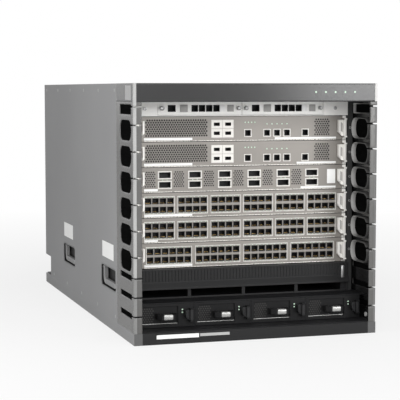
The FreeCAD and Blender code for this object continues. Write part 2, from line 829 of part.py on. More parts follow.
# Card boards: the circuit board with its bank of port cages, heat sinks and rear plugs soldered on
def card_board(card, slot, kind, groups, columns):
    def piece(name, low, high):
        corner = [(x, f"face_y + {y}", f"{slot_z(slot)} - panel_gap/2 + {z}") for x, y, z in (low, high)]
        pieces.append(block(f"{card}_{name}", *corner))

    pieces = []
    deck = "board_rise + board_thick"
    piece("plate", ("-half_board", "panel_thick", "board_rise"),
          ("half_board", "panel_thick + board_depth - plug_depth/2", deck))
    if kind:
        half = f"({group_span(kind, columns)} + {kind}_width)/2"
        first, last = f"{group_x(kind, groups, 0)} - {half}", f"{group_x(kind, groups, groups - 1)} + {half}"
    else:
        first, last = "pair_middle - cage_width/2", "single_last + cage_width/2"
    piece("cage", (first, "port_depth", deck), (last, "port_depth + cage_depth", f"{deck} + cage_height"))
    for index, x in enumerate(("-card_width/4", "card_width/4")):
        piece(f"sink_{index + 1}", (f"{x} - sink_width/2", "sink_set", deck),
              (f"{x} + sink_width/2", "sink_set + sink_depth", f"{deck} + sink_height"))
        piece(f"plug_{index + 1}", (f"{x} - plug_width/2", "panel_thick + board_depth - plug_depth", deck),
              (f"{x} + plug_width/2", "panel_thick + board_depth", f"{deck} + plug_height"))
    fused(card + "_board", pieces)


def card_levers(card, slot):
    for name, side in SIDES:
        arm = lever(f"{card}_{name}_lever", side, "lever_reach", "lever_height")
        place(arm, f"{side}*pivot_x", "face_y - pivot_reach", f"{slot_z(slot)} + panel_height/2")


# Control modules: closed housings with one port and a row of four jacks in the face
def control_module(index):
    body = new_body(f"control_module_{index + 1}")
    face = new_sketch(body, "XZ")
    rectangle(face, 0, 0, "control_width", "control_height")
    pad(body, face, "control_depth", back=True)
    middle = "control_height/2"
    jacks = new_sketch(body, "XZ")
    rectangle(jacks, "port_set - port_width/2", f"{middle} - jack_side/2",
              "port_set + port_width/2", f"{middle} + jack_side/2")
    for jack in range(JACKS):
        centre = f"jack_set + {jack}*jack_pitch"
        rectangle(jacks, f"{centre} - jack_side/2", f"{middle} - jack_side/2",
                  f"{centre} + jack_side/2", f"{middle} + jack_side/2")
    pocket(body, jacks, "jack_depth")
    start = "-control_width - slide_gap" if index == 0 else "slide_gap"
    place(body, start, "face_y", "control_floor + slide_gap")


# Power modules: closed housings with a rimmed face, a bowed grip and a latch pivot
def power_module(index):
    body = new_body(f"power_module_{index + 1}")
    face = new_sketch(body, "XZ")
    rectangle(face, "-module_width/2", 0, "module_width/2", "module_height")
    pad(body, face, "module_depth", back=True)
    recess = new_sketch(body, "XZ")
    rectangle(recess, "module_rim - module_width/2", "module_rim",
              "module_width/2 - module_rim - 2*latch_reach", "module_height - module_rim")
    pocket(body, recess, "module_face")
    grip = new_sketch(body, "XY", "module_height/2 - grip_height/2")
    half = "grip_width/2"
    outline(grip, [
        (f"-{half}", "module_face"), (f"-{half}", "grip_bar - grip_reach"),
        ("grip_bar - grip_width/2", "-grip_reach"), ("grip_width/2 - grip_bar", "-grip_reach"),
        (half, "grip_bar - grip_reach"), (half, "module_face"),
        (f"{half} - grip_bar", "module_face"), (f"{half} - grip_bar", "grip_bar - grip_reach"),
        (f"grip_bar - {half}", "grip_bar - grip_reach"), (f"grip_bar - {half}", "module_face")])
    pad(body, grip, "grip_height")
    pivot_ears(body, ["latch_x"], "module_height/2", "latch_height")
    base_z = "bay_floor + slide_gap"
    place(body, module_x(index), "bay_front", base_z)
    latch = lever(f"power_latch_{index + 1}", 1, "latch_reach", "latch_height")
    place(latch, f"{module_x(index)} + latch_x", "bay_front - pivot_reach", f"{base_z} + module_height/2")


# Intake filter: a drawer with a slotted face, side rails and a flat filter mat
def intake_filter():
    body = new_body("intake_filter")
    half_span = "(cage_x - slide_gap)"
    low = "shelf_top + slide_gap"
    face = new_sketch(body, "XZ", "filter_proud - face_y")
    rectangle(face, f"-{half_span}", low, half_span, f"{low} + filter_height")
    pad(body, face, "filter_wall", back=True)
    slots = new_sketch(body, "XZ", "filter_proud - face_y")
    pitch = f"(2*{half_span} - filter_wall)/{INTAKE_SLOTS}"
    for index in range(INTAKE_SLOTS):
        start = f"filter_wall/2 - {half_span} + {index}*{pitch}"
        rectangle(slots, f"{start} + intake_web/2", f"{low} + intake_web/2",
                  f"{start} + {pitch} - intake_web/2", f"{low} + intake_web/2 + intake_height")
    pocket(body, slots)
    lip = new_sketch(body, "YZ")
    lip_low = f"{low} + intake_web/2 + intake_height"
    face_front = "face_y - filter_proud"
    outline(lip, [(face_front, lip_low), (face_front, f"{lip_low} + 2*filter_lip"),
                  (f"{face_front} - filter_lip", f"{lip_low} + filter_lip/2"),
                  (f"{face_front} - filter_lip", lip_low)])
    pad(body, lip, f"2*{half_span}", both=True)
    rails = new_sketch(body, "XY", low)
    front = "face_y - filter_proud + filter_wall"
    end = f"{front} + filter_depth"
    outline(rails, [
        (f"-{half_span}", front), (f"filter_rail - {half_span}", front),
        (f"filter_rail - {half_span}", f"{end} - filter_rail"),
        (f"{half_span} - filter_rail", f"{end} - filter_rail"), (f"{half_span} - filter_rail", front),
        (half_span, front), (half_span, end), (f"-{half_span}", end)])
    pad(body, rails, "filter_height")
    mat = new_sketch(body, "XY", f"{low} + filter_height - filter_wall")
    rectangle(mat, f"filter_rail - {half_span}", front, f"{half_span} - filter_rail", f"{end} - filter_rail")
    pad(body, mat, "filter_wall")


# Fabric modules: upright boards with a rear plate, side by side between the fan trays
def fabric_modules():
    modules = []
    half = "(fabric_pitch/2 - fit_gap)"
    board_start = "midplane_y + midplane_thick + fit_gap"
    for index in range(FABRIC_MODULES):
        body = new_body(f"fabric_module_{index + 1}", keep=False)
        plan = new_sketch(body, "XY")
        outline(plan, [
            (f"-{half}", "rear_y"), (f"-{half}", "rear_y - panel_thick"),
            ("-fabric_board/2", "rear_y - panel_thick"), ("-fabric_board/2", board_start),
            ("fabric_board/2", board_start), ("fabric_board/2", "rear_y - panel_thick"),
            (half, "rear_y - panel_thick"), (half, "rear_y")])
        pad(body, plan, "tray_high - tray_low")
        place(body, f"({index} - {(FABRIC_MODULES - 1) / 2})*fabric_pitch", 0, "tray_low")
        modules.append(body)
    group("fabric_modules", modules)


# Fan trays: open boxes with two round openings, each with a spider and a shaft
FAN_LEVELS = ("fan_low", "fan_high")


def fan_tray(name, side):
    body = new_body("fan_tray_" + name)
    low_x, high_x = ("-tray_out", "-tray_in") if side < 0 else ("tray_in", "tray_out")
    middle = f"{side}*fan_x"
    rear = new_sketch(body, "XZ", "-rear_y")
    rectangle(rear, low_x, "tray_low", high_x, "tray_high")
    pad(body, rear, "tray_depth")
    hollow = new_sketch(body, "XZ", "tray_depth - rear_y")
    rectangle(hollow, f"{low_x} + tray_wall", "tray_low + tray_wall",
              f"{high_x} - tray_wall", "tray_high - tray_wall")
    pocket(body, hollow, "tray_depth - tray_wall")
    openings = new_sketch(body, "XZ", "-rear_y")
    for level in FAN_LEVELS:
        many_sided(openings, middle, level, "fan_radius", FAN_SIDES)
    pocket(body, openings)
    reach = "fan_radius + tray_wall"
    for wide, tall in ((reach, "spider_bar/2"), ("spider_bar/2", reach)):
        bars = new_sketch(body, "XZ", "-rear_y")
        for level in FAN_LEVELS:
            rectangle(bars, f"{middle} - ({wide})", f"{level} - ({tall})",
                      f"{middle} + {wide}", f"{level} + {tall}")
        pad(body, bars, "spider_thick")
    bearings = new_sketch(body, "XZ", "-rear_y")
    shafts = new_sketch(body, "XZ", "-rear_y")
    for level in FAN_LEVELS:
        many_sided(bearings, middle, level, "spider_hub", HUB_SIDES)
        many_sided(shafts, middle, level, "shaft_radius", PIN_SIDES)
    pad(body, bearings, "spider_boss")
    pad(body, shafts, "shaft_length")


# Fan rotors: a bored hub with pitched blades
def fan_rotor(name, side, number, level):
    body = new_body(f"fan_rotor_{name}_{number}")
    hub = new_sketch(body, "XZ")
    many_sided(hub, 0, 0, "hub_radius", HUB_SIDES)
    circle(hub, 0, 0, "shaft_radius + pivot_clear")
    pad(body, hub, "hub_depth")
    section = new_sketch(body, "YZ", "blade_root")
    low = "-hub_depth/2 - blade_thick/2 - blade_lead"
    high = "-hub_depth/2 - blade_thick/2 + blade_lead"
    outline(section, [(low, "-blade_chord"), (f"{low} + blade_thick", "-blade_chord"),
                      (f"{high} + blade_thick", "blade_chord"), (high, "blade_chord")])
    blade = pad(body, section, "fan_radius - blade_gap - blade_root")
    ring = body.newObject("PartDesign::PolarPattern", "Blades")
    ring.Originals = [blade]
    ring.Axis = (origin(body, "Y_Axis"), [""])
    ring.Angle = 360
    ring.Occurrences = BLADES
    body.Tip = ring
    place(body, f"{side}*fan_x", "rear_y - spider_boss - fit_gap", level)


base_tray()
power_bay()
power_inlets()
for name, side in SIDES:
    side_panel(name, side)
    cage_wall(name, side)
    cable_comb(name, side)
top_cover()
control_shelf()
midplane_board()
front_bezel()
handle_cups()
fabric_modules()
for name, side in SIDES:
    carry_handle(name, side, "front", "handle_y")
    carry_handle(name, side, "rear", "handle_y + handle_pitch")
for slot, (card, kind, groups, columns) in enumerate(CARDS):
    card_panel(card, slot, kind, groups, columns)
    card_board(card, slot, kind, groups, columns)
    card_levers(card, slot)
for index in range(CONTROL_MODULES):
    control_module(index)
for index in range(POWER_MODULES):
    power_module(index)
intake_filter()
for name, side in SIDES:
    fan_tray(name, side)
    for number, level in enumerate(FAN_LEVELS, 1):
        fan_rotor(name, side, number, level)

# Nothing is written out unless every feature and every solid is sound
doc.recompute()
for item in doc.Objects:
    if {"Invalid", "Error"} & set(item.State):
        raise RuntimeError(f"{item.Label}: {item.State}")
for label, item in nodes.items():
    if item.Shape.isNull() or not item.Shape.isValid():
        raise RuntimeError(label + ": the shape is not sound")
os.makedirs("parts", exist_ok=True)
for label, item in nodes.items():
    item.Shape.exportStep(f"parts/{label}.step")
print(len(nodes), "nodes,", sum(len(item.Shape.Solids) for item in nodes.values()), "solids")
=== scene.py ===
import math

import bpy
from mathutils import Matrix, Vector


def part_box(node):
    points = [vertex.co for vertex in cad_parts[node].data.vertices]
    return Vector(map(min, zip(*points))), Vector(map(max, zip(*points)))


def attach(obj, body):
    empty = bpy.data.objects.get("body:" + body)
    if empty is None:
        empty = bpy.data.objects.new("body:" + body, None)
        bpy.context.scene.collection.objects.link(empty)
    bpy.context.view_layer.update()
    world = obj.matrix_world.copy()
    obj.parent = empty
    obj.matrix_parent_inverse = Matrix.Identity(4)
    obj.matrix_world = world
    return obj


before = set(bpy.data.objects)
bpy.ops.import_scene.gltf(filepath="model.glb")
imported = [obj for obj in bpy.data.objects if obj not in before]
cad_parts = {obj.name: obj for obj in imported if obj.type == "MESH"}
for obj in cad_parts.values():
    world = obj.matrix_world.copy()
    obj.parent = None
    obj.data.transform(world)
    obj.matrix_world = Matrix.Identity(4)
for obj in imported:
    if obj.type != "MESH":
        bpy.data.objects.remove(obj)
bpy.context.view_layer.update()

# The studio: a pale sheet of floor in a white surround, a broad soft lamp in front, a tall strip at
# the left and a weaker lamp at the right, and the camera where the photograph was taken from.
scene = bpy.context.scene
scene.view_settings.view_transform = "Standard"


def sum_node(tree, kind, first, second=None):
    """A sum of one socket, of two sockets, or of a socket and a number."""
    node = tree.nodes.new("ShaderNodeMath")
    node.operation = kind
    tree.links.new(first, node.inputs[0])
    if isinstance(second, float):
        node.inputs[1].default_value = second
    elif second is not None:
        tree.links.new(second, node.inputs[1])
    return node.outputs[0]


surround = bpy.data.worlds.new("white_surround")
surround.use_nodes = True
scene.world = surround
sky = surround.node_tree
seen = sky.nodes.new("ShaderNodeLightPath")
seen_or_mirrored = sum_node(sky, "MAXIMUM", seen.outputs["Is Camera Ray"],
                            seen.outputs["Is Glossy Ray"])
shown = sum_node(sky, "MAXIMUM", seen_or_mirrored, seen.outputs["Is Transmission Ray"])
strength = sky.nodes.new("ShaderNodeMapRange")
strength.inputs["To Min"].default_value = 0.42
strength.inputs["To Max"].default_value = 1.0
sky.nodes["Background"].inputs["Color"].default_value = (1, 1, 1, 1)
sky.links.new(shown, strength.inputs["Value"])
sky.links.new(strength.outputs["Result"], sky.nodes["Background"].inputs["Strength"])

bpy.ops.object.select_all(action="DESELECT")
bpy.ops.mesh.primitive_plane_add(size=40, location=(0, 0, 0))
floor = bpy.context.object
floor.name = "studio_floor"
paper = bpy.data.materials.new("floor_paper")
paper.use_nodes = True
sheet = paper.node_tree
shader = sheet.nodes["Principled BSDF"]
shader.inputs["Base Color"].default_value = (0.9, 0.9, 0.9, 1)
shader.inputs["Roughness"].default_value = 0.9
glow = sheet.nodes.new("ShaderNodeEmission")
glow.inputs["Color"].default_value = (1, 1, 1, 1)
looked_at = sheet.nodes.new("ShaderNodeLightPath")
spot = sheet.nodes.new("ShaderNodeTexCoord")
reach = sheet.nodes.new("ShaderNodeVectorMath")
reach.operation = "LENGTH"
fade = sheet.nodes.new("ShaderNodeMapRange")
for socket, value in (("From Min", 0.5), ("From Max", 2.2), ("To Min", 0.75), ("To Max", 1.0)):
    fade.inputs[socket].default_value = value
blend = sheet.nodes.new("ShaderNodeMixShader")
sheet.links.new(spot.outputs["Object"], reach.inputs[0])
sheet.links.new(reach.outputs["Value"], fade.inputs["Value"])
glow_share = sum_node(sheet, "MULTIPLY", looked_at.outputs["Is Camera Ray"],
                      fade.outputs["Result"])
sheet.links.new(glow_share, blend.inputs["Fac"])
sheet.links.new(shader.outputs["BSDF"], blend.inputs[1])
sheet.links.new(glow.outputs["Emission"], blend.inputs[2])
sheet.links.new(blend.outputs["Shader"], sheet.nodes["Material Output"].inputs["Surface"])
floor.data.materials.append(paper)


def soft_lamp(name, place, aim, width, height, watts):
    """An area lamp that is turned to a point."""
    bpy.ops.object.light_add(type="AREA", location=place)
    lamp = bpy.context.object
    lamp.name = name
    lamp.data.shape = "RECTANGLE"
    lamp.data.size = width
    lamp.data.size_y = height
    lamp.data.energy = watts
    lamp.rotation_euler = (Vector(aim) - Vector(place)).to_track_quat("-Z", "Y").to_euler()


soft_lamp("front_lamp", (-0.5, -3.9, 1.7), (0, -0.3, 0.2), 2.4, 2.0, 88)
soft_lamp("left_strip", (-1.19, -0.648, 0.52), (-0.22, -0.405, 0.52), 0.06, 1.0, 5)
soft_lamp("right_lamp", (1.85, -3.25, 0.75), (0.1, -0.4, 0.3), 1.3, 1.0, 36)

bpy.ops.object.camera_add(location=(-0.767, -2.580, 0.430))
camera = bpy.context.object
camera.data.sensor_width = 36
camera.data.lens = 121
aim = Vector((-0.012, -0.10, 0.2185))
camera.rotation_euler = (aim - camera.location).to_track_quat("-Z", "Y").to_euler()
scene.camera = camera

# Base tray: a shallow pan of folded steel that everything else stands in, sprayed grey as the
# sides are, with its front sill masked and sprayed black. A blank strip of white film and a greyer
# one beside it are stuck to the left of the sill.
MM = 0.001


def noise(tree, where, scale, detail, stretch=(1, 1, 1)):
    """A noise pattern on the piece's own coordinates, in metres."""
    turn = tree.nodes.new("ShaderNodeMapping")
    turn.inputs["Scale"].default_value = stretch
    cloud = tree.nodes.new("ShaderNodeTexNoise")
    cloud.inputs["Scale"].default_value = scale
    cloud.inputs["Detail"].default_value = detail
    tree.links.new(where.outputs["Object"], turn.inputs["Vector"])
    tree.links.new(turn.outputs["Vector"], cloud.inputs["Vector"])
    return cloud


def coating(name, colour, roughness, metallic=0.0, drift=6, spread=0.08, grain=1100, relief=0.03,
            stretch=(1, 1, 1), worn=0.25, shine=0.5, ease=0.7):
    """A sprayed, moulded or brushed skin: tone and gloss that drift, fine relief, paler edges."""
    skin = bpy.data.materials.new(name)
    skin.use_nodes = True
    tree = skin.node_tree
    shader = tree.nodes["Principled BSDF"]
    shader.inputs["Metallic"].default_value = metallic
    shader.inputs["Specular IOR Level"].default_value = shine
    where = tree.nodes.new("ShaderNodeTexCoord")

    cloud = noise(tree, where, drift, 5)
    tone = tree.nodes.new("ShaderNodeValToRGB")
    for stop, place, change in zip(tone.color_ramp.elements, (0.3, 0.7), (1 - spread, 1 + spread)):
        stop.position = place
        stop.color = [min(part * change, 1) for part in colour] + [1]
    tree.links.new(cloud.outputs["Fac"], tone.inputs["Fac"])

    fine = noise(tree, where, grain, 2, stretch)
    gloss = tree.nodes.new("ShaderNodeMapRange")
    gloss.inputs["From Min"].default_value = 0.25
    gloss.inputs["From Max"].default_value = 0.75
    gloss.inputs["To Min"].default_value = max(roughness - 0.07, 0.05)
    gloss.inputs["To Max"].default_value = roughness + 0.07
    tree.links.new(fine.outputs["Fac"], gloss.inputs["Value"])
    tree.links.new(gloss.outputs["Result"], shader.inputs["Roughness"])

    eased = tree.nodes.new("ShaderNodeBevel")
    eased.samples = 8
    eased.inputs["Radius"].default_value = ease * MM
    bump = tree.nodes.new("ShaderNodeBump")
    bump.inputs["Strength"].default_value = 0.35
    bump.inputs["Distance"].default_value = relief * MM
    tree.links.new(fine.outputs["Fac"], bump.inputs["Height"])
    tree.links.new(eased.outputs["Normal"], bump.inputs["Normal"])
    tree.links.new(bump.outputs["Normal"], shader.inputs["Normal"])

    flat = tree.nodes.new("ShaderNodeNewGeometry")
    turned = tree.nodes.new("ShaderNodeVectorMath")
    turned.operation = "DOT_PRODUCT"
    rubbed = tree.nodes.new("ShaderNodeMapRange")
    rubbed.inputs["From Min"].default_value = 0.99
    rubbed.inputs["From Max"].default_value = 0.75
    rubbed.inputs["To Max"].default_value = worn
    paler = tree.nodes.new("ShaderNodeMix")
    paler.data_type = "RGBA"
    paler.inputs["B"].default_value = [0.55 * part + 0.4 for part in colour] + [1]
    tree.links.new(eased.outputs["Normal"], turned.inputs[0])
    tree.links.new(flat.outputs["Normal"], turned.inputs[1])
    tree.links.new(turned.outputs["Value"], rubbed.inputs["Value"])
    tree.links.new(rubbed.outputs["Result"], paler.inputs["Factor"])
    tree.links.new(tone.outputs["Color"], paler.inputs["A"])
    tree.links.new(paler.outputs["Result"], shader.inputs["Base Color"])
    return skin


def dress(skin, *nodes):
    """Give CAD nodes a material."""
    for node in nodes:
        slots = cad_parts[node].data.materials
        slots.clear()
        slots.append(skin)


def block(low, high):
    """A box between two corners in millimetres, alone in the selection."""
    bpy.ops.object.select_all(action="DESELECT")
    spans = [(end - start) * MM for start, end in zip(low, high)]
    middle = [(start + end) / 2 * MM for start, end in zip(low, high)]
    bpy.ops.mesh.primitive_cube_add(size=1, location=middle, scale=spans)
    bpy.ops.object.transform_apply(location=True, rotation=True, scale=True)
    return bpy.context.object


def soften(piece, width, steps=2):
    """Round every sharp edge of a piece."""
    edge = piece.modifiers.new("edge", "BEVEL")
    edge.width = width * MM
    edge.segments = steps
    bpy.ops.object.modifier_apply(modifier=edge.name)
    return piece


def finish(piece, name, body, skin):
    """Name a piece, give it its skin, and fix it to a body."""
    piece.name = name
    piece.data.name = name
    piece.data.materials.clear()
    piece.data.materials.append(skin)
    bpy.ops.object.select_all(action="DESELECT")
    piece.select_set(True)
    bpy.context.view_layer.objects.active = piece
    bpy.ops.object.shade_smooth_by_angle(angle=math.radians(35))
    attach(piece, body)


def axes(skin):
    """A skin's node tree, with the sockets of a point's own X, Y and Z in metres."""
    tree = skin.node_tree
    where = tree.nodes.new("ShaderNodeTexCoord")
    parts = tree.nodes.new("ShaderNodeSeparateXYZ")
    tree.links.new(where.outputs["Object"], parts.inputs["Vector"])
    return tree, parts.outputs["X"], parts.outputs["Y"], parts.outputs["Z"]


def overlay(skin, mask, colour):
    """A second colour over a skin, where a mask is 1."""
    tree = skin.node_tree
    base = tree.nodes["Principled BSDF"].inputs["Base Color"]
    mix = tree.nodes.new("ShaderNodeMix")
    mix.data_type = "RGBA"
    mix.inputs["B"].default_value = (*colour, 1)
    tree.links.new(mask, mix.inputs["Factor"])
    tree.links.new(base.links[0].from_socket, mix.inputs["A"])
    tree.links.new(mix.outputs["Result"], base)


FRONT = -406.5
SILL_HALF = 206.5
SILL_REAR = -390.0
tray_skin = coating("tray_spray", (0.24, 0.24, 0.243), 0.46, drift=3, spread=0.05, worn=0.04,
                    shine=0.25)
tree, x, y, z = axes(tray_skin)
between = sum_node(tree, "LESS_THAN", sum_node(tree, "ABSOLUTE", x), SILL_HALF * MM)
in_front = sum_node(tree, "LESS_THAN", y, (FRONT + 0.1) * MM)
on_sill = sum_node(tree, "LESS_THAN", y, SILL_REAR * MM)
overlay(tray_skin, in_front, (0.10, 0.10, 0.10))
overlay(tray_skin, sum_node(tree, "MULTIPLY", between, on_sill), (0.010, 0.010, 0.0105))
dress(tray_skin, "base_tray")
film_skin = coating("white_film", (0.86, 0.86, 0.85), 0.4, spread=0.03, worn=0)
grey_film_skin = coating("grey_film", (0.42, 0.42, 0.415), 0.4, spread=0.03, worn=0)
strip = soften(block((-182, FRONT - 0.15, 9.5), (-107, FRONT + 0.1, 16.5)), 0.1, 1)
finish(strip, "sill_strip", "chassis", film_skin)
strip = soften(block((-105, FRONT - 0.15, 11.0), (-52, FRONT + 0.1, 16.0)), 0.1, 1)
finish(strip, "sill_grey_strip", "chassis", grey_film_skin)

# Power bay: folded steel sheet riveted to the base, with fins between the power modules, sprayed
# black as the modules are.
bay_skin = coating("bay_spray", (0.012, 0.012, 0.013), 0.5, worn=0.04, shine=0.15)
dress(bay_skin, "power_bay")

# Power inlets: black moulded sockets in the rear notch, each with three plated contact blades
# standing from the floor of its cavity.
INLETS = 4
INLET_Z = 42.25
BLADE_FOOT = 328.4
BLADE_TIP = 342.5
MODULE_PITCH = 103.35


def row(piece, count, step):
    """Copies of a piece along a straight run, kept as one mesh."""
    run = piece.modifiers.new("row", "ARRAY")
    run.use_relative_offset = False
    run.use_constant_offset = True
    run.constant_offset_displace = [part * MM for part in step]
    run.count = count
    bpy.ops.object.modifier_apply(modifier=run.name)
    return piece


def joined(pieces):
    """Several pieces made into one mesh."""
    bpy.ops.object.select_all(action="DESELECT")
    for piece in pieces:
        piece.select_set(True)
    bpy.context.view_layer.objects.active = pieces[0]
    bpy.ops.object.join()
    return bpy.context.object


black_skin = coating("black_moulding", (0.016, 0.016, 0.017), 0.52, grain=1500, relief=0.02,
                     worn=0.03, shine=0.25)
blade_skin = coating("plated_blade", (0.72, 0.70, 0.64), 0.28, metallic=1.0, worn=0)
dress(black_skin, "power_inlets")
blades = []
for across, up in ((-7, -2.5), (0, 3), (7, -2.5)):
    x, z = -1.5 * MODULE_PITCH + across, INLET_Z + up
    blades.append(soften(block((x - 1, BLADE_FOOT, z - 3), (x + 1, BLADE_TIP, z + 3)), 0.5))
blades = row(joined(blades), INLETS, (MODULE_PITCH, 0, 0))
finish(blades, "inlet_blades", "chassis", blade_skin)

# Side panels: flat steel sheet sprayed satin grey, held by flush countersunk screws along the top
# and bottom. Two blank white stickers are on the left panel, one over each carry handle.
HALF_WIDTH = 221
SIDES = (("left", -1), ("right", 1))
SCREW_START = -270
UPPER_SCREW_Z = 430
LOWER_SCREW_Z = 29
STICKER_FOOT = 126
STICKER_TOP = 155


def pick_faces(piece, wanted):
    """Go into edit mode with the faces picked whose middle and normal pass a test."""
    bpy.ops.object.mode_set(mode="EDIT")
    bpy.ops.mesh.select_mode(type="FACE")
    bpy.ops.mesh.select_all(action="DESELECT")
    bpy.ops.object.mode_set(mode="OBJECT")
    for face in piece.data.polygons:
        face.select = wanted(face.center / MM, face.normal)
    bpy.ops.object.mode_set(mode="EDIT")


def rod(middle, turn, radius, depth, corners):
    """A cylinder about a point in millimetres, turned from upright, alone in the selection."""
    bpy.ops.object.select_all(action="DESELECT")
    bpy.ops.mesh.primitive_cylinder_add(vertices=corners, radius=radius * MM, depth=depth * MM,
                                        location=[part * MM for part in middle], rotation=turn)
    bpy.ops.object.transform_apply(location=True, rotation=True, scale=True)
    return bpy.context.object


def screw(place, out, radius, proud):
    """A screw head with a sunk socket, its face proud of a point, looking along a direction."""
    out = Vector(out)
    depth = proud + 0.6
    middle = Vector(place) + out * (proud - depth / 2)
    head = rod(middle, out.to_track_quat("Z", "Y").to_euler(), radius, depth, 12)
    pick_faces(head, lambda middle, normal: normal.dot(out) > 0.9)
    bpy.ops.mesh.inset(thickness=radius * 0.18 * MM, depth=0)
    bpy.ops.mesh.inset(thickness=radius * 0.32 * MM, depth=0)
    sunk = -out * 0.5 * (depth - 0.2) * MM
    bpy.ops.mesh.extrude_region_move(TRANSFORM_OT_translate={"value": sunk})
    bpy.ops.object.mode_set(mode="OBJECT")
    return head


side_skin = coating("side_spray", (0.262, 0.262, 0.265), 0.62, drift=3, spread=0.05, worn=0.15,
                    shine=0.3)
screw_skin = coating("screw_plate", (0.42, 0.42, 0.42), 0.33, metallic=0.9, worn=0.2)
dress(side_skin, "left_side_panel", "right_side_panel")
for name, side in SIDES:
    out = (side, 0, 0)
    x = side * HALF_WIDTH
    upper = row(screw((x, SCREW_START, UPPER_SCREW_Z), out, 3.0, 0.15), 6, (0, 130, 0))
    lower = row(screw((x, SCREW_START, LOWER_SCREW_Z), out, 3.0, 0.15), 5, (0, 145, 0))
    finish(joined([upper, lower]), name + "_panel_screws", "chassis", screw_skin)
stickers = []
for y in (-212.5, 147.5):
    sticker = block((-HALF_WIDTH - 0.15, y - 45, STICKER_FOOT),
                    (-HALF_WIDTH + 0.1, y + 45, STICKER_TOP))
    stickers.append(soften(sticker, 0.1, 1))
finish(joined(stickers), "side_stickers", "chassis", film_skin)

# Carry handles: grey moulded bails that hang in cups let into the sides. The cups are painted
# near-black inside as painted shade, with a grey edge. The bar of each has a softer ribbed sleeve
# for the hand.
HANDLES = (("left", -1, "front", -215.5), ("left", -1, "rear", 142.5),
           ("right", 1, "front", -215.5), ("right", 1, "rear", 142.5))
CUP_EDGE = 219.5
BAR_X = 214.5
SLEEVE_RIBS = 13
SLEEVE_STEP = (0, 4.95, 0)
rubber_skin = coating("grip_rubber", (0.22, 0.22, 0.222), 0.7, grain=2200, relief=0.05, worn=0.02)
bail_skin = coating("bail_moulding", (0.25, 0.25, 0.25), 0.42, grain=1600, worn=0.15)
# The cup is painted near-black inside: painted shade for its hollow. Its grey edge is its own
# colour.
cup_shade_skin = coating("cup_painted_shade", (0.012, 0.012, 0.012), 0.5, grain=1500, worn=0, shine=0.15)
tree, x, y, z = axes(cup_shade_skin)
on_edge = sum_node(tree, "GREATER_THAN", sum_node(tree, "ABSOLUTE", x), CUP_EDGE * MM)
overlay(cup_shade_skin, on_edge, (0.22, 0.22, 0.222))
dress(cup_shade_skin, "handle_cups")
for name, side, end, y in HANDLES:
    body = f"{name}_{end}_handle"
    dress(bail_skin, body)
    x = side * BAR_X
    ring = soften(block((x - 3.8, y - 32, 75.3), (x + 3.8, y - 27.4, 84.8)), 1.6)
    sleeve = row(ring, SLEEVE_RIBS, SLEEVE_STEP)
    finish(sleeve, f"{name}_{end}_sleeve", body, rubber_skin)

# Card cage: folded steel walls with a zinc plating, painted near-black as painted shade inside the
# combs, and a front rail beside the cards.
# A flush bright screw holds the rail at each slot.
SLOTS = 6
SLOT_PITCH = 44.45
RAIL_X = 208
RAIL_FACE = -315.5
RAIL_SCREW_Z = 140.1
# The walls are painted near-black: painted shade inside the combs.
wall_shade_skin = coating("zinc_painted_shade", (0.05, 0.05, 0.05), 0.42, metallic=0.3, spread=0.06, grain=700,
                    stretch=(1, 0.05, 1), worn=0.1, shine=0.3)
dress(wall_shade_skin, "cage_left_wall", "cage_right_wall")
for name, side in SIDES:
    heads = screw((side * RAIL_X, RAIL_FACE, RAIL_SCREW_Z), (0, -1, 0), 2.4, 0.3)
    heads = row(heads, SLOTS, (0, 0, SLOT_PITCH))
    finish(heads, name + "_rail_screws", "chassis", screw_skin)

# Midplane and card boards: green glass-fibre laminate with fine copper traces under the solder
# resist. Tinned port cages, finned black heat sinks and black plugs are soldered to the cards.
laminate = bpy.data.materials.new("green_laminate")
laminate.use_nodes = True
tree = laminate.node_tree
shader = tree.nodes["Principled BSDF"]
where = tree.nodes.new("ShaderNodeTexCoord")
traces = tree.nodes.new("ShaderNodeTexBrick")
for socket, value in (("Scale", 60.0), ("Mortar Size", 0.03), ("Brick Width", 0.9),
                      ("Row Height", 0.12)):
    traces.inputs[socket].default_value = value
traces.inputs["Color1"].default_value = (0.012, 0.085, 0.035, 1)
traces.inputs["Color2"].default_value = (0.016, 0.10, 0.042, 1)
traces.inputs["Mortar"].default_value = (0.045, 0.19, 0.07, 1)
relief = tree.nodes.new("ShaderNodeBump")
relief.inputs["Strength"].default_value = 0.3
relief.inputs["Distance"].default_value = 0.05 * MM
cloud = noise(tree, where, 300, 3)
gloss = tree.nodes.new("ShaderNodeMapRange")
gloss.inputs["To Min"].default_value = 0.28
gloss.inputs["To Max"].default_value = 0.5
tree.links.new(where.outputs["Object"], traces.inputs["Vector"])
tree.links.new(traces.outputs["Color"], shader.inputs["Base Color"])
tree.links.new(traces.outputs["Fac"], relief.inputs["Height"])
tree.links.new(relief.outputs["Normal"], shader.inputs["Normal"])
tree.links.new(cloud.outputs["Fac"], gloss.inputs["Value"])
tree.links.new(gloss.outputs["Result"], shader.inputs["Roughness"])
dress(laminate, "midplane_board")
CARDS = ("processor_card_1", "processor_card_2",
         "line_card_1", "line_card_2", "line_card_3", "line_card_4")
DECK = 126.4
ROOM = 40.0
FIN_PITCH = 4.6
FIN_GAP = 2.6
CAGE_REAR = -250.0
fitted = laminate.copy()
fitted.name = "fitted_laminate"
tree, x, y, z = axes(fitted)
height = sum_node(tree, "SUBTRACT", z, (DECK - SLOT_PITCH) * MM)
height = sum_node(tree, "MODULO", height, SLOT_PITCH * MM)
raised = sum_node(tree, "LESS_THAN", height, ROOM * MM)
overlay(fitted, raised, (0.035, 0.035, 0.036))
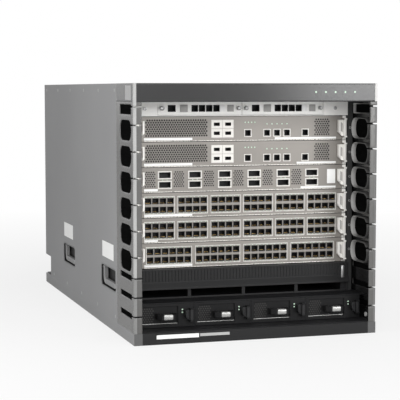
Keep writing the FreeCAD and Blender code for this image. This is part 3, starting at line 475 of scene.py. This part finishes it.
# The gaps between the painted heat-sink fins are darker still: painted shade.
across = sum_node(tree, "MODULO", sum_node(tree, "ADD", x, 1.0), FIN_PITCH * MM)
fin_gap_shade = sum_node(tree, "LESS_THAN", across, FIN_GAP * MM)
overlay(fitted, sum_node(tree, "MULTIPLY", raised, fin_gap_shade), (0.006, 0.006, 0.006))
in_front = sum_node(tree, "LESS_THAN", y, CAGE_REAR * MM)
overlay(fitted, sum_node(tree, "MULTIPLY", raised, in_front), (0.40, 0.395, 0.38))
dress(fitted, *[card + "_board" for card in CARDS])

# Top cover: one sheet of steel with its rear edge folded down, sprayed as the sides are. Flush
# countersunk screws along both long edges hold it to the flanges of the side panels.
COVER_TOP = 442
dress(side_skin, "top_cover")
heads = []
for x in (-205, 205):
    heads.append(row(screw((x, -330, COVER_TOP), (0, 0, 1), 3.0, 0.15), 6, (0, 142, 0)))
finish(joined(heads), "cover_screws", "chassis", screw_skin)

# Cable combs: grey mouldings that guide the cables at both sides of the cards, satin outside,
# with the faces that look inwards painted near-black as painted shade. A rounded lip stands inwards
# round every window, paler to the rear as painted light, and slit where a cable goes in. A screw
# under a white cap holds each comb to the power bay.
COMB_INSIDE = 218
WINDOW = (122.625, 157.625)
WINDOW_SLIT = 148.125
CONTROL_WINDOW = (389.4, 406.4)
CONTROL_SLIT = 401.2
SLIT = 2.6
LIP_FRONT = -391.7
LIP_REAR = -317.5
PAINTED_LIGHT_FROM = -350.0
PAINTED_LIGHT_OVER = 25.0


def tube(middle, turn, spans, wall, travel, corner=0):
    """A thin wall round an opening: a plate turned from level, cut out and drawn along."""
    bpy.ops.object.select_all(action="DESELECT")
    bpy.ops.mesh.primitive_plane_add(size=1, location=[part * MM for part in middle], rotation=turn)
    ring = bpy.context.object
    ring.scale = (spans[0] * MM, spans[1] * MM, 1)
    bpy.ops.object.transform_apply(location=True, rotation=True, scale=True)
    bpy.ops.object.mode_set(mode="EDIT")
    bpy.ops.mesh.select_all(action="SELECT")
    if corner:
        bpy.ops.mesh.bevel(offset=corner * MM, segments=6, affect="VERTICES")
        bpy.ops.mesh.select_all(action="SELECT")
    bpy.ops.mesh.inset(thickness=wall * MM, depth=0)
    bpy.ops.mesh.delete(type="FACE")
    bpy.ops.mesh.select_all(action="SELECT")
    drawn = [part * MM for part in travel]
    bpy.ops.mesh.extrude_region_move(TRANSFORM_OT_translate={"value": drawn})
    bpy.ops.mesh.select_all(action="SELECT")
    bpy.ops.mesh.normals_make_consistent(inside=False)
    bpy.ops.object.mode_set(mode="OBJECT")
    return ring


def lip(side, z_low, z_high, corner, wall, reach):
    """A lip round a window, from the inside of a comb's wall inwards."""
    middle = (side * (COMB_INSIDE + 0.3), (LIP_FRONT + LIP_REAR) / 2, (z_low + z_high) / 2)
    return tube(middle, (0, side * math.pi / 2, 0), (z_high - z_low, LIP_REAR - LIP_FRONT), wall,
                (-side * reach, 0, 0), corner)


def slit(ring, z_low):
    """Open the front end of a lip where the comb's slit lets a cable in."""
    cutter = block((-HALF_WIDTH - 9, -395, z_low), (HALF_WIDTH + 9, -372, z_low + SLIT))
    gap = ring.modifiers.new("slit", "BOOLEAN")
    gap.object = cutter
    bpy.context.view_layer.objects.active = ring
    bpy.ops.object.modifier_apply(modifier=gap.name)
    bpy.data.objects.remove(cutter)
    bpy.ops.object.select_all(action="DESELECT")
    ring.select_set(True)
    return ring


comb_skin = coating("comb_moulding", (0.10, 0.098, 0.095), 0.22, grain=1600, relief=0.01, worn=0,
                    ease=3.5)
tree, x, y, z = axes(comb_skin)
# The faces that look inwards are painted near-black: painted shade inside the comb.
geometry = tree.nodes.new("ShaderNodeNewGeometry")
facing = tree.nodes.new("ShaderNodeSeparateXYZ")
tree.links.new(geometry.outputs["Normal"], facing.inputs["Vector"])
inward_painted_shade = sum_node(tree, "MULTIPLY", facing.outputs["X"], x)
overlay(comb_skin, sum_node(tree, "LESS_THAN", inward_painted_shade, -0.05), (0.016, 0.016, 0.016))
lit_lip_skin = coating("lip_painted_light", (0.085, 0.084, 0.082), 0.45, grain=1600, worn=0.1, shine=0.3)
# The lip is painted paler towards its rear: painted light where light falls on the rear of the lip.
tree, x, y, z = axes(lit_lip_skin)
painted_light_rearward = sum_node(tree, "SUBTRACT", y, PAINTED_LIGHT_FROM * MM)
overlay(lit_lip_skin, sum_node(tree, "DIVIDE", painted_light_rearward, PAINTED_LIGHT_OVER * MM), (0.46, 0.455, 0.445))
dress(comb_skin, "left_cable_comb", "right_cable_comb")
for name, side in SIDES:
    lips = slit(lip(side, WINDOW[0] - 1.2, WINDOW[1] + 1.2, 17.7, 1.7, 9), WINDOW_SLIT)
    lips = row(soften(lips, 0.6), SLOTS, (0, 0, SLOT_PITCH))
    small = lip(side, CONTROL_WINDOW[0] - 1, CONTROL_WINDOW[1] + 1, 0, 2, 5)
    lips = joined([lips, soften(slit(small, CONTROL_SLIT), 0.4, 1)])
    finish(lips, name + "_comb_lips", "chassis", lit_lip_skin)
    cap = screw((side * COMB_INSIDE, -372, 28), (-side, 0, 0), 4.2, 1.6)
    finish(cap, name + "_comb_screw", "chassis", film_skin)

# Brush strips: rows of near-black bristles set into the windows and slots of the combs from above
# and below, a dark filling that is painted shade for the shadow inside the combs.
LOW_SLOTS = 3
LOW_SLOT = (43.0, 52.633)
LOW_PITCH = 32.633
BRUSH_FRONT = -390
HAIRS = 60
HAIR_STEP = 1.3
# The bristles are a near-black filling in the windows and slots: painted shade.
shade_bristle_skin = coating("bristle_painted_shade", (0.005, 0.005, 0.005), 0.7, grain=2500, worn=0, shine=0.0)


def shade_brush(side, z_low, z_high):
    """Bristles from the top and the bottom of a window, in two layers, tapered to their tips."""
    rows = []
    middle = (z_low + z_high) / 2
    for layer, x in enumerate((COMB_INSIDE + 0.4, COMB_INSIDE + 1.4)):
        front = BRUSH_FRONT + HAIR_STEP / 2 * layer
        near, far = sorted((side * x, side * (x + 0.8)))
        for root, tip in ((z_low - 0.3, middle + 1 + layer), (z_high + 0.3, middle - 1 - layer)):
            hair = block((near, front, min(root, tip)), (far, front + 1.2, max(root, tip)))
            pick_faces(hair, lambda place, normal: abs(place.z - tip) < 0.01)
            bpy.ops.transform.resize(value=(0.4, 0.6, 1))
            bpy.ops.object.mode_set(mode="OBJECT")
            rows.append(row(hair, HAIRS, (0, HAIR_STEP, 0)))
    return joined(rows)


for name, side in SIDES:
    strips = [row(shade_brush(side, *WINDOW), SLOTS, (0, 0, SLOT_PITCH)), shade_brush(side, *CONTROL_WINDOW)]
    strips.append(row(shade_brush(side, *LOW_SLOT), LOW_SLOTS, (0, 0, LOW_PITCH)))
    finish(joined(strips), name + "_brushes", "chassis", shade_bristle_skin)

# Front bezel: a moulded charcoal hood across the top, clipped to the combs by a grey plate at each
# side. Five light pipes stand in a row at its right.
CLIP_X = 220.9
LAMPS = 5
LAMP_X = 104.6
LAMP_Z = 427
LAMP_STEP = (18.25, 0, 0)
FORWARD = (math.pi / 2, 0, 0)
bezel_skin = coating("bezel_moulding", (0.02, 0.02, 0.0205), 0.19, grain=1300, relief=0.005,
                     worn=0, ease=3.5)
dress(bezel_skin, "front_bezel")
clip_skin = coating("clip_moulding", (0.33, 0.33, 0.33), 0.42, grain=1600, worn=0.15)
for name, side in SIDES:
    x = side * CLIP_X
    clip = soften(block((x - 0.25, -389, 413.5), (x + 0.25, -349, 438.5)), 0.15, 1)
    finish(clip, name + "_bezel_clip", "chassis", clip_skin)
lens_skin = bpy.data.materials.new("lamp_lens")
lens_skin.use_nodes = True
tree = lens_skin.node_tree
shader = tree.nodes["Principled BSDF"]
where = tree.nodes.new("ShaderNodeTexCoord")
speck = noise(tree, where, 900, 2)
tint = tree.nodes.new("ShaderNodeValToRGB")
tint.color_ramp.elements[0].color = (0.30, 0.42, 0.32, 1)
tint.color_ramp.elements[1].color = (0.62, 0.80, 0.64, 1)
tree.links.new(speck.outputs["Fac"], tint.inputs["Fac"])
tree.links.new(tint.outputs["Color"], shader.inputs["Base Color"])
tree.links.new(tint.outputs["Color"], shader.inputs["Emission Color"])
shader.inputs["Emission Strength"].default_value = 0.12
shader.inputs["Roughness"].default_value = 0.2


def faces_front(middle, normal):
    """A test for picking faces: those that look along -Y."""
    return normal.y < -0.9


def inset(piece, wanted, *steps):
    """Inset the faces that pass a test, once for each width and height in millimetres."""
    pick_faces(piece, wanted)
    for width, height in steps:
        bpy.ops.mesh.inset(thickness=width * MM, depth=height * MM)
    bpy.ops.object.mode_set(mode="OBJECT")
    return piece


def light_pipe(place, radius, proud):
    """A small domed lens that looks along -Y."""
    x, y, z = place
    lens = rod((x, y - proud / 2 + 0.3, z), FORWARD, radius, proud + 0.6, 12)
    return inset(lens, faces_front, (radius * 0.3, proud * 0.4))


lamps = row(light_pipe((LAMP_X, FRONT, LAMP_Z), 1.7, 0.15), LAMPS, LAMP_STEP)
finish(lamps, "bezel_lamps", "chassis", lens_skin)

# Edge strips: satin mouldings let into the front corners of the combs and the bezel, in lengths
# that leave the slits of the combs open. Their tones are painted light: the left one is pale above
# its foot as a painted highlight, and the right one is darker as painted shade, but for its end at
# the bezel, which is pale as a painted highlight.
LOW_SLIT = 47.433
STRIP_FRONT = FRONT - 0.05
STRIP_BACK = -401.5
STRIP_FOOT = 20.3
STRIP_TOP = 441.8
HIGHLIGHT_FADES_BELOW = 114.0
HIGHLIGHT_ABOVE = 411.0
# The left strip is pale as a painted highlight, and greyer below its foot, where the painted
# highlight stops.
highlight_strip_skin = coating("strip_painted_highlight", (0.36, 0.36, 0.355), 0.28, grain=1600, relief=0.01, worn=0)
# The right strip is darker as painted shade, with a painted highlight at its end by the bezel.
shaded_strip_skin = coating("strip_painted_shade", (0.14, 0.14, 0.139), 0.5, grain=1600, worn=0,
                          shine=0.2)
tree, x, y, z = axes(shaded_strip_skin)
bezel_highlight = sum_node(tree, "GREATER_THAN", z, HIGHLIGHT_ABOVE * MM)
overlay(shaded_strip_skin, bezel_highlight, (0.62, 0.615, 0.605))
tree, x, y, z = axes(highlight_strip_skin)
overlay(highlight_strip_skin, sum_node(tree, "LESS_THAN", z, HIGHLIGHT_FADES_BELOW * MM), (0.20, 0.20, 0.197))
slits = [LOW_SLIT + LOW_PITCH * step for step in range(LOW_SLOTS)]
slits += [WINDOW_SLIT + SLOT_PITCH * step for step in range(SLOTS)] + [CONTROL_SLIT]


def pick_edges(piece, wanted):
    """Go into edit mode with the edges picked whose two ends pass a test."""
    bpy.ops.object.mode_set(mode="EDIT")
    bpy.ops.mesh.select_mode(type="EDGE")
    bpy.ops.mesh.select_all(action="DESELECT")
    bpy.ops.object.mode_set(mode="OBJECT")
    for edge in piece.data.edges:
        ends = [piece.data.vertices[index].co / MM for index in edge.vertices]
        edge.select = all(wanted(end) for end in ends)
    bpy.ops.object.mode_set(mode="EDIT")


for name, side, skin in (("left", -1, highlight_strip_skin), ("right", 1, shaded_strip_skin)):
    lengths = []
    outer, inner = side * (HALF_WIDTH + 0.05), side * (HALF_WIDTH - 5)
    start, stop = sorted((outer, inner))
    for low, high in zip([STRIP_FOOT] + [level + SLIT for level in slits], slits + [STRIP_TOP]):
        length = block((start, STRIP_FRONT, low), (stop, STRIP_BACK, high))
        pick_edges(length, lambda end: (end - Vector((inner, STRIP_BACK, end.z))).length < 0.01)
        bpy.ops.mesh.bevel(offset=4 * MM, segments=1)
        bpy.ops.object.mode_set(mode="OBJECT")
        pick_edges(length, lambda end: (end - Vector((outer, STRIP_FRONT, end.z))).length < 0.01)
        bpy.ops.mesh.bevel(offset=3 * MM, segments=5)
        bpy.ops.object.mode_set(mode="OBJECT")
        lengths.append(length)
    finish(joined(lengths), name + "_painted_light_strip", "chassis", skin)

# Control row: two white-faced modules on a white shelf with blank end plates. Each has a port, a
# grey key block, four black jacks, two blank plates and a captive thumbscrew at each end.
FACE_Y = -316.5
CONTROL_Z = 398.4
JACKS = 4
JACK_STEP = (13.3, 0, 0)
white_skin = coating("control_spray", (0.90, 0.89, 0.865), 0.42, spread=0.03, worn=0.05)
grey_skin = coating("grey_moulding", (0.36, 0.354, 0.342), 0.45, worn=0.15)
dress(white_skin, "control_shelf", "control_module_1", "control_module_2")


def collar(x, z, width, height, wall, proud, depth):
    """A sleeve round a port opening of a face, from a little proud of it to some way inside."""
    return tube((x, FACE_Y - proud, z), FORWARD, (width, height), wall, (0, proud + depth, 0))


def tile(x_low, x_high, z_low, z_high, proud, edge, steps=2):
    """A plate let a little into a face and proud of it, with round edges."""
    plate = block((x_low, FACE_Y - proud, z_low), (x_high, FACE_Y + 0.2, z_high))
    return soften(plate, edge, steps)


def thumbscrew(x, z, radius, reach):
    """A captive screw with a grooved head that looks along -Y."""
    head = rod((x, FACE_Y - reach / 2, z), FORWARD, radius, reach, 16)
    pick_faces(head, lambda middle, normal: abs(normal.y) < 0.1)
    bpy.ops.mesh.inset(thickness=0.25 * MM, depth=-0.2 * MM, use_individual=True)
    bpy.ops.object.mode_set(mode="OBJECT")
    return inset(head, faces_front, (0.5, 0.3), (0.9, -0.6))


z = CONTROL_Z
for number, left in ((1, -154.5), (2, 0.5)):
    body = f"control_module_{number}"
    jacks = row(collar(left + 67, z, 11.9, 11.9, 1.1, 0.5, 10), JACKS, JACK_STEP)
    port = collar(left + 25, z, 14.2, 12, 1.2, 0.5, 10)
    jacks = [soften(joined([jacks, port]), 0.2, 1)]
    for x_low, x_high, count in ((left + 61.6, left + 72.4, JACKS), (left + 18.5, left + 31.5, 1)):
        back = block((x_low, FACE_Y + 11, z - 5.4), (x_high, FACE_Y + 11.8, z + 5.4))
        jacks.append(row(soften(back, 0.2, 1), count, JACK_STEP))
    finish(joined(jacks), body + "_jacks", body, black_skin)
    keys = tile(left + 40, left + 54, z - 6.5, z + 6.5, 1.2, 0.6)
    plate = tile(left + 127, left + 139, z - 6, z + 6, 0.9, 0.5)
    finish(joined([keys, plate]), body + "_keys", body, grey_skin)
    screws = joined([thumbscrew(left + 7, z, 3.6, 5), thumbscrew(left + 148, z, 3.6, 5)])
    finish(screws, body + "_thumbscrews", body, screw_skin)
    plate = tile(left + 112, left + 122, z - 6.5, z + 6.5, 0.5, 0.3)
    finish(plate, body + "_plate", body, film_skin)
heads = [screw((x, FACE_Y, 398), (0, -1, 0), 3.2, 1.2) for x in (178, -178)]
finish(joined(heads), "shelf_screws", "chassis", screw_skin)

# Card faces: folded steel in a warm silver spray, paler at both ends, the same on all six cards. A
# bright spring gasket runs along the lower edge, a blank label strip is stuck at the lower left,
# and the upper three cards have another at the lower right.
PANEL_HEIGHT = 43.45
FACE_END = 180
PALE_END = 192.5
silver_skin = coating("silver_spray", (0.235, 0.219, 0.20), 0.4, metallic=0.2, drift=8, worn=0.3)
tree, x, y, z = axes(silver_skin)
at_end = sum_node(tree, "GREATER_THAN", sum_node(tree, "ABSOLUTE", x), PALE_END * MM)
overlay(silver_skin, at_end, (0.90, 0.885, 0.85))
gasket_skin = coating("spring_gasket", (0.74, 0.72, 0.68), 0.3, metallic=0.7, grain=500, worn=0)
dress(silver_skin, *[card + "_panel" for card in CARDS])
foot = {card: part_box(card + "_panel")[0].z / MM for card in CARDS}
for card in CARDS:
    low = foot[card]
    finger = block((-FACE_END, FACE_Y - 0.5, low + 0.1), (-FACE_END + 5.5, FACE_Y + 0.3, low + 1.5))
    fingers = row(soften(finger, 0.25, 1), 60, (6, 0, 0))
    finish(fingers, card + "_gasket", card, gasket_skin)
    end = -155 if card in ("line_card_1", "line_card_3") else -92
    strip = tile(-FACE_END, end, low + 2.2, low + 6.4, 0.3, 0.15, 1)
    finish(strip, card + "_label_strip", card, film_skin)
for card, start in (("processor_card_1", 62), ("processor_card_2", 104), ("line_card_1", 112)):
    low = foot[card]
    strip = tile(start, FACE_END, low + 2.2, low + 5.6, 0.3, 0.15, 1)
    finish(strip, card + "_end_strip", card, film_skin)

# Processor cards: perforated intake areas at both ends, a pale block of two pairs of jacks, five
# single jacks low down and two short rows of lamps over them.
PAIR_X = -47
PAIR_STEP = (21, 0, 0)
SINGLES = (11, 47, 66, 85, 120)
JACK_RISE = 16
JACK_LINER = (10.9, 10.9, 0.9, 0.4, 11)
ROW_RISE = 0.87
vent_skin = coating("vent_shadow", (0.02, 0.019, 0.018), 0.7, worn=0)
shell_skin = coating("tinned_shell", (0.58, 0.565, 0.535), 0.36, metallic=0.4, worn=0.1)


def perforation(x_low, x_high, z_low, z_high, pitch, radius, y=FACE_Y):
    """Rows of shallow six-sided holes over a part of a face, every second row set over."""
    rows = []
    columns = int((x_high - x_low) / pitch)
    lines = int((z_high - z_low) / (pitch * ROW_RISE))
    for odd in (0, 1):
        place = (x_low + pitch * (0.5 + odd / 2), y - 0.03, z_low + pitch * (0.5 + odd * ROW_RISE))
        hole = inset(rod(place, FORWARD, radius, 0.2, 6), faces_front, (radius * 0.2, -0.06))
        row(hole, max(columns - odd, 1), (pitch, 0, 0))
        row(hole, max((lines + 1 - odd) // 2, 1), (0, 0, pitch * ROW_RISE * 2))
        rows.append(hole)
    return joined(rows)


def liner_back(x_low, x_high, low):
    """The wall behind the jacks of a card whose lower edge is at a height."""
    return block((x_low, FACE_Y + 12.4, low + 3), (x_high, FACE_Y + 13.8, low + 40))


for card in CARDS[:2]:
    low = foot[card]
    middle = low + PANEL_HEIGHT / 2
    lower, upper = middle - JACK_RISE / 2, middle + JACK_RISE / 2
    vents = [perforation(-178, -62, low + 8, low + 40, 4.4, 1.9),
             perforation(137, 169, low + 8, low + 40, 4.4, 1.75)]
    finish(joined(vents), card + "_vents", card, vent_skin)
    pair = row(collar(PAIR_X, lower, 20.6, 15.6, 4.9, 0.6, 0.2), 2, PAIR_STEP)
    row(pair, 2, (0, 0, JACK_RISE))
    finish(soften(pair, 0.2, 1), card + "_pair_block", card, shell_skin)
    frames = joined([collar(x, lower, 14, 14, 1.6, 0.6, 0.2) for x in SINGLES])
    finish(soften(frames, 0.2, 1), card + "_jack_frames", card, shell_skin)
    liners = [row(collar(PAIR_X, z, *JACK_LINER), 2, PAIR_STEP) for z in (lower, upper)]
    liners += [collar(x, lower, *JACK_LINER) for x in SINGLES]
    liners.append(soften(liner_back(-60, 132, low), 0.3, 1))
    finish(joined(liners), card + "_jack_liners", card, black_skin)
    lamps = [row(light_pipe((6, FACE_Y, middle + 11), 1.2, 0.4), 4, (6, 0, 0)),
             row(light_pipe((47, FACE_Y, middle + 8), 1.2, 0.4), 5, (9.5, 0, 0))]
    finish(joined(lamps), card + "_lamps", card, lens_skin)

# Optical line card: six pairs of wide ports, one over the other, in bright pressed shells, with
# perforated areas between them, a lamp for each port and a pale blank plate at the right.
PORTS = 6
PORT_X = -142.25
PORT_STEP = (55.1, 0, 0)
PORT_RISE = 17
card = "line_card_1"
low = foot[card]
middle = low + PANEL_HEIGHT / 2
lower = middle - PORT_RISE / 2
shells = row(collar(PORT_X, lower, 25.4, 14.4, 2.2, 0.7, 0.2), PORTS, PORT_STEP)
row(shells, 2, (0, 0, PORT_RISE))
finish(soften(shells, 0.25, 1), card + "_shells", card, shell_skin)
liners = row(collar(PORT_X, lower, 20.9, 10.3, 0.7, 0.3, 12), PORTS, PORT_STEP)
row(liners, 2, (0, 0, PORT_RISE))
back = inset(liner_back(-153, 144, low), faces_front, (1, 0.3))
finish(joined([liners, back]), card + "_liners", card, black_skin)
vents = row(perforation(-127, -102.4, low + 8.5, low + 40, 4.1, 1.55), PORTS - 1, PORT_STEP)
first = perforation(-179, -157.5, low + 8.5, low + 40, 4.1, 1.55)
finish(joined([vents, first]), card + "_vents", card, vent_skin)
lamps = row(light_pipe((PORT_X - 4, FACE_Y, middle), 0.9, 0.4), PORTS, PORT_STEP)
row(lamps, 2, (8, 0, 0))
finish(lamps, card + "_lamps", card, lens_skin)
plate = tile(163, 179, low + 10, low + 36, 0.6, 0.4)
finish(plate, card + "_plate", card, film_skin)

# Copper and dense line cards: blocks of small jacks in two rows. Each block has a bright frame,
# each jack a dark moulded liner with eight gold contacts and two lamps over or under it.
gold_skin = coating("contact_gold", (0.62, 0.42, 0.17), 0.3, metallic=1.0, worn=0)


def in_blocks(piece, columns, step, groups, group, rise):
    """One jack's piece in every column and block of a card, and again in its upper row."""
    row(piece, columns, (step, 0, 0))
    row(piece, groups, (group, 0, 0))
    return row(piece, 2, (0, 0, rise))


for card, groups, columns, group, step, high in (("line_card_2", 6, 4, 61, 13.6, 10.2),
                                                 ("line_card_3", 6, 4, 61, 13.6, 10.2),
                                                 ("line_card_4", 4, 6, 90, 13.8, 10.8)):
    low = foot[card]
    middle = low + PANEL_HEIGHT / 2
    span = (columns - 1) * step
    start = -(groups - 1) / 2 * group
    frames = row(collar(start, middle, span + 15.4, 32.4, 1.5, 0.8, 0.2), groups, (group, 0, 0))
    finish(soften(frames, 0.3, 1), card + "_frames", card, shell_skin)
    jack = start - span / 2
    blocks = (columns, step, groups, group)
    liners = in_blocks(collar(jack, middle - 7.5, 11.7, high - 0.1, 0.9, 0.5, 11), *blocks, 15)
    back = inset(liner_back(-FACE_END, FACE_END, low), faces_front, (1, 0.3))
    finish(joined([liners, back]), card + "_liners", card, black_skin)
    contact = block((jack - 3.8, FACE_Y + 2, middle - 11.2),
                    (jack - 3.2, FACE_Y + 9, middle - 10.6))
    inset(contact, lambda middle, normal: normal.z > 0.9, (0.1, 0.2))
    contacts = in_blocks(row(contact, 8, (1, 0, 0)), *blocks, 15)
    finish(contacts, card + "_contacts", card, gold_skin)
    lamp = tile(jack - 4.6, jack - 2.6, middle - 14.6, middle - 13.6, 0.5, 0.25, 1)
    lamps = in_blocks(row(lamp, 2, (7.2, 0, 0)), *blocks, 28.2)
    finish(lamps, card + "_lamps", card, lens_skin)

# Ejector levers: pale cast levers at both ends of every card, each with a slanted grey finger
# pad let into its face and six ridges on its hooked end. A pin between the panel's ears carries it.
PAD_FRONT = FACE_Y - 6.3
HOOK_X = 183.1
HOOK_FRONT = FACE_Y - 11.3
RIDGES = 6
RIDGE_STEP = (0, 0, 2.4)
lever_skin = coating("lever_casting", (0.88, 0.86, 0.825), 0.38, metallic=0.2, grain=900, worn=0.25)
pad_skin = coating("finger_pad", (0.42, 0.41, 0.395), 0.6, worn=0.05)
for card in CARDS:
    for name, side in SIDES:
        body = f"{card}_{name}_lever"
        dress(lever_skin, body)
        middle = foot[card] + PANEL_HEIGHT / 2
        start, stop = sorted((side * 190.4, side * 184.9))
        pad = block((start, PAD_FRONT, middle - 8), (stop, PAD_FRONT + 0.7, middle + 8))
        pick_faces(pad, lambda place, normal: normal.x * side < -0.9)
        bpy.ops.transform.translate(value=(0, 0, 4 * MM))
        bpy.ops.object.mode_set(mode="OBJECT")
        finish(soften(pad, 0.25, 1), body + "_pad", body, pad_skin)
        x = side * HOOK_X
        ridge = block((x - 1.4, HOOK_FRONT, middle - 2), (x + 1.4, HOOK_FRONT + 0.7, middle - 1))
        ridges = row(soften(ridge, 0.3, 1), RIDGES, RIDGE_STEP)
        finish(ridges, body + "_ridges", body, lever_skin)

# Intake filter: a charcoal drawer front with upright louvre ribs over its slots and a small
# pale bracket at its right end. It pulls out for cleaning.
LOUVRES = 67
LOUVRE_STEP = (5.95, 0, 0)
filter_skin = coating("filter_spray", (0.015, 0.015, 0.0155), 0.42, worn=0.06, shine=0.2)
dress(filter_skin, "intake_filter")
rib = soften(block((-198, -327.6, 96), (-195.6, -326.3, 115.5)), 0.5, 1)
ribs = row(rib, LOUVRES, LOUVRE_STEP)
finish(ribs, "filter_ribs", "intake_filter", filter_skin)
bracket = soften(block((187, -330.5, 90), (193, -326.3, 112)), 0.8)
finish(bracket, "filter_bracket", "intake_filter", screw_skin)

# Power modules: black closed housings with a perforated face, a satin metal sleeve on each bowed
# grip, a thin bright trim line and two lamps. The latch beside it is ridged for the thumb.
MODULE_FACE = -363.5
module_skin = coating("module_spray", (0.009, 0.009, 0.0095), 0.5, worn=0.03, shine=0.15)
sleeve_skin = coating("grip_sleeve", (0.42, 0.42, 0.41), 0.3, metallic=0.7, worn=0.1)
for number in (1, 2, 3, 4):
    body = f"power_module_{number}"
    x = (number - 2.5) * MODULE_PITCH
    dress(module_skin, body)
    latch = f"power_latch_{number}"
    dress(black_skin, latch)
    vents = perforation(x - 45, x - 19, 27, 57, 4.2, 1.6, MODULE_FACE)
    finish(vents, body + "_vents", body, vent_skin)
    sleeve = soften(block((x - 9, -387.0, 37.1), (x + 9, -379.0, 47.4)), 2.4, 3)
    finish(sleeve, body + "_sleeve", body, sleeve_skin)
    trim = block((x - 46, MODULE_FACE - 0.7, 27.6), (x + 22, MODULE_FACE + 0.2, 28.8))
    trim = soften(trim, 0.25, 1)
    finish(trim, body + "_trim", body, sleeve_skin)
    lamps = row(light_pipe((x + 30, MODULE_FACE - 3, 52), 1.3, 0.4), 2, (0, 0, -5))
    finish(lamps, body + "_lamps", body, lens_skin)
    ridge = soften(block((x + 33.6, -378.2, 36), (x + 36.4, -377.0, 37)), 0.3, 1)
    ridges = row(ridge, RIDGES, RIDGE_STEP)
    finish(ridges, latch + "_ridges", latch, black_skin)

# Fabric modules: six narrow upright units at the rear, each with a perforated silver plate and a
# screw at both ends.
REAR = 406.5
BACKWARD = (-math.pi / 2, 0, 0)
UNITS = 6
UNIT_STEP = (23, 0, 0)
dress(silver_skin, "fabric_modules")
holes = []
for odd in (0, 1):
    hole = rod((-62.5 + 2.5 * odd, REAR, 95 + 4.35 * odd), BACKWARD, 1.9, 0.2, 6)
    inset(hole, lambda middle, normal: normal.y > 0.9, (0.4, -0.06))
    row(hole, 3 - odd, (5, 0, 0))
    row(hole, 34 - odd, (0, 0, 8.7))
    row(hole, UNITS, UNIT_STEP)
    holes.append(hole)
finish(joined(holes), "fabric_vents", "chassis", vent_skin)
heads = row(screw((-57.5, REAR, 76), (0, 1, 0), 3, 0.15), 2, (0, 0, 340))
heads = row(heads, UNITS, UNIT_STEP)
finish(heads, "fabric_screws", "chassis", screw_skin)

# Fan trays: black boxes at the rear with two fans each. Wire rings welded to four wires guard each
# fan behind the bars of its spider.
FAN_X = 144.25
FAN_Z = 162.5
FAN_RISE = 168
GUARD_Y = 401.2
for name, side in SIDES:
    body = "fan_tray_" + name
    dress(module_skin, body)
    dress(black_skin, f"fan_rotor_{name}_1", f"fan_rotor_{name}_2")
    x = side * FAN_X
    hub = (x * MM, GUARD_Y * MM, FAN_Z * MM)
    rings = []
    for radius in (34, 44, 54, 63):
        bpy.ops.object.select_all(action="DESELECT")
        bpy.ops.mesh.primitive_torus_add(location=hub, rotation=FORWARD,
                                         major_radius=radius * MM, minor_radius=0.9 * MM,
                                         major_segments=48, minor_segments=6)
        bpy.ops.object.transform_apply(location=True, rotation=True, scale=True)
        rings.append(bpy.context.object)
    for turn in range(4):
        wire = soften(block((x + 26, GUARD_Y - 0.8, FAN_Z - 0.8),
                            (x + 65.5, GUARD_Y + 0.8, FAN_Z + 0.8)), 0.4, 1)
        bpy.ops.object.mode_set(mode="EDIT")
        bpy.ops.mesh.select_all(action="SELECT")
        bpy.ops.transform.rotate(value=math.radians(45 + 90 * turn), orient_axis="Y",
                                 center_override=hub)
        bpy.ops.object.mode_set(mode="OBJECT")
        rings.append(wire)
    guard = row(joined(rings), 2, (0, 0, FAN_RISE))
    finish(guard, body + "_guards", body, screw_skin)
    heads = row(screw((x - 62, REAR, 74), (0, 1, 0), 3, 0.15), 2, (124, 0, 0))
    heads = row(heads, 2, (0, 0, 345))
    finish(heads, body + "_screws", body, screw_skin)
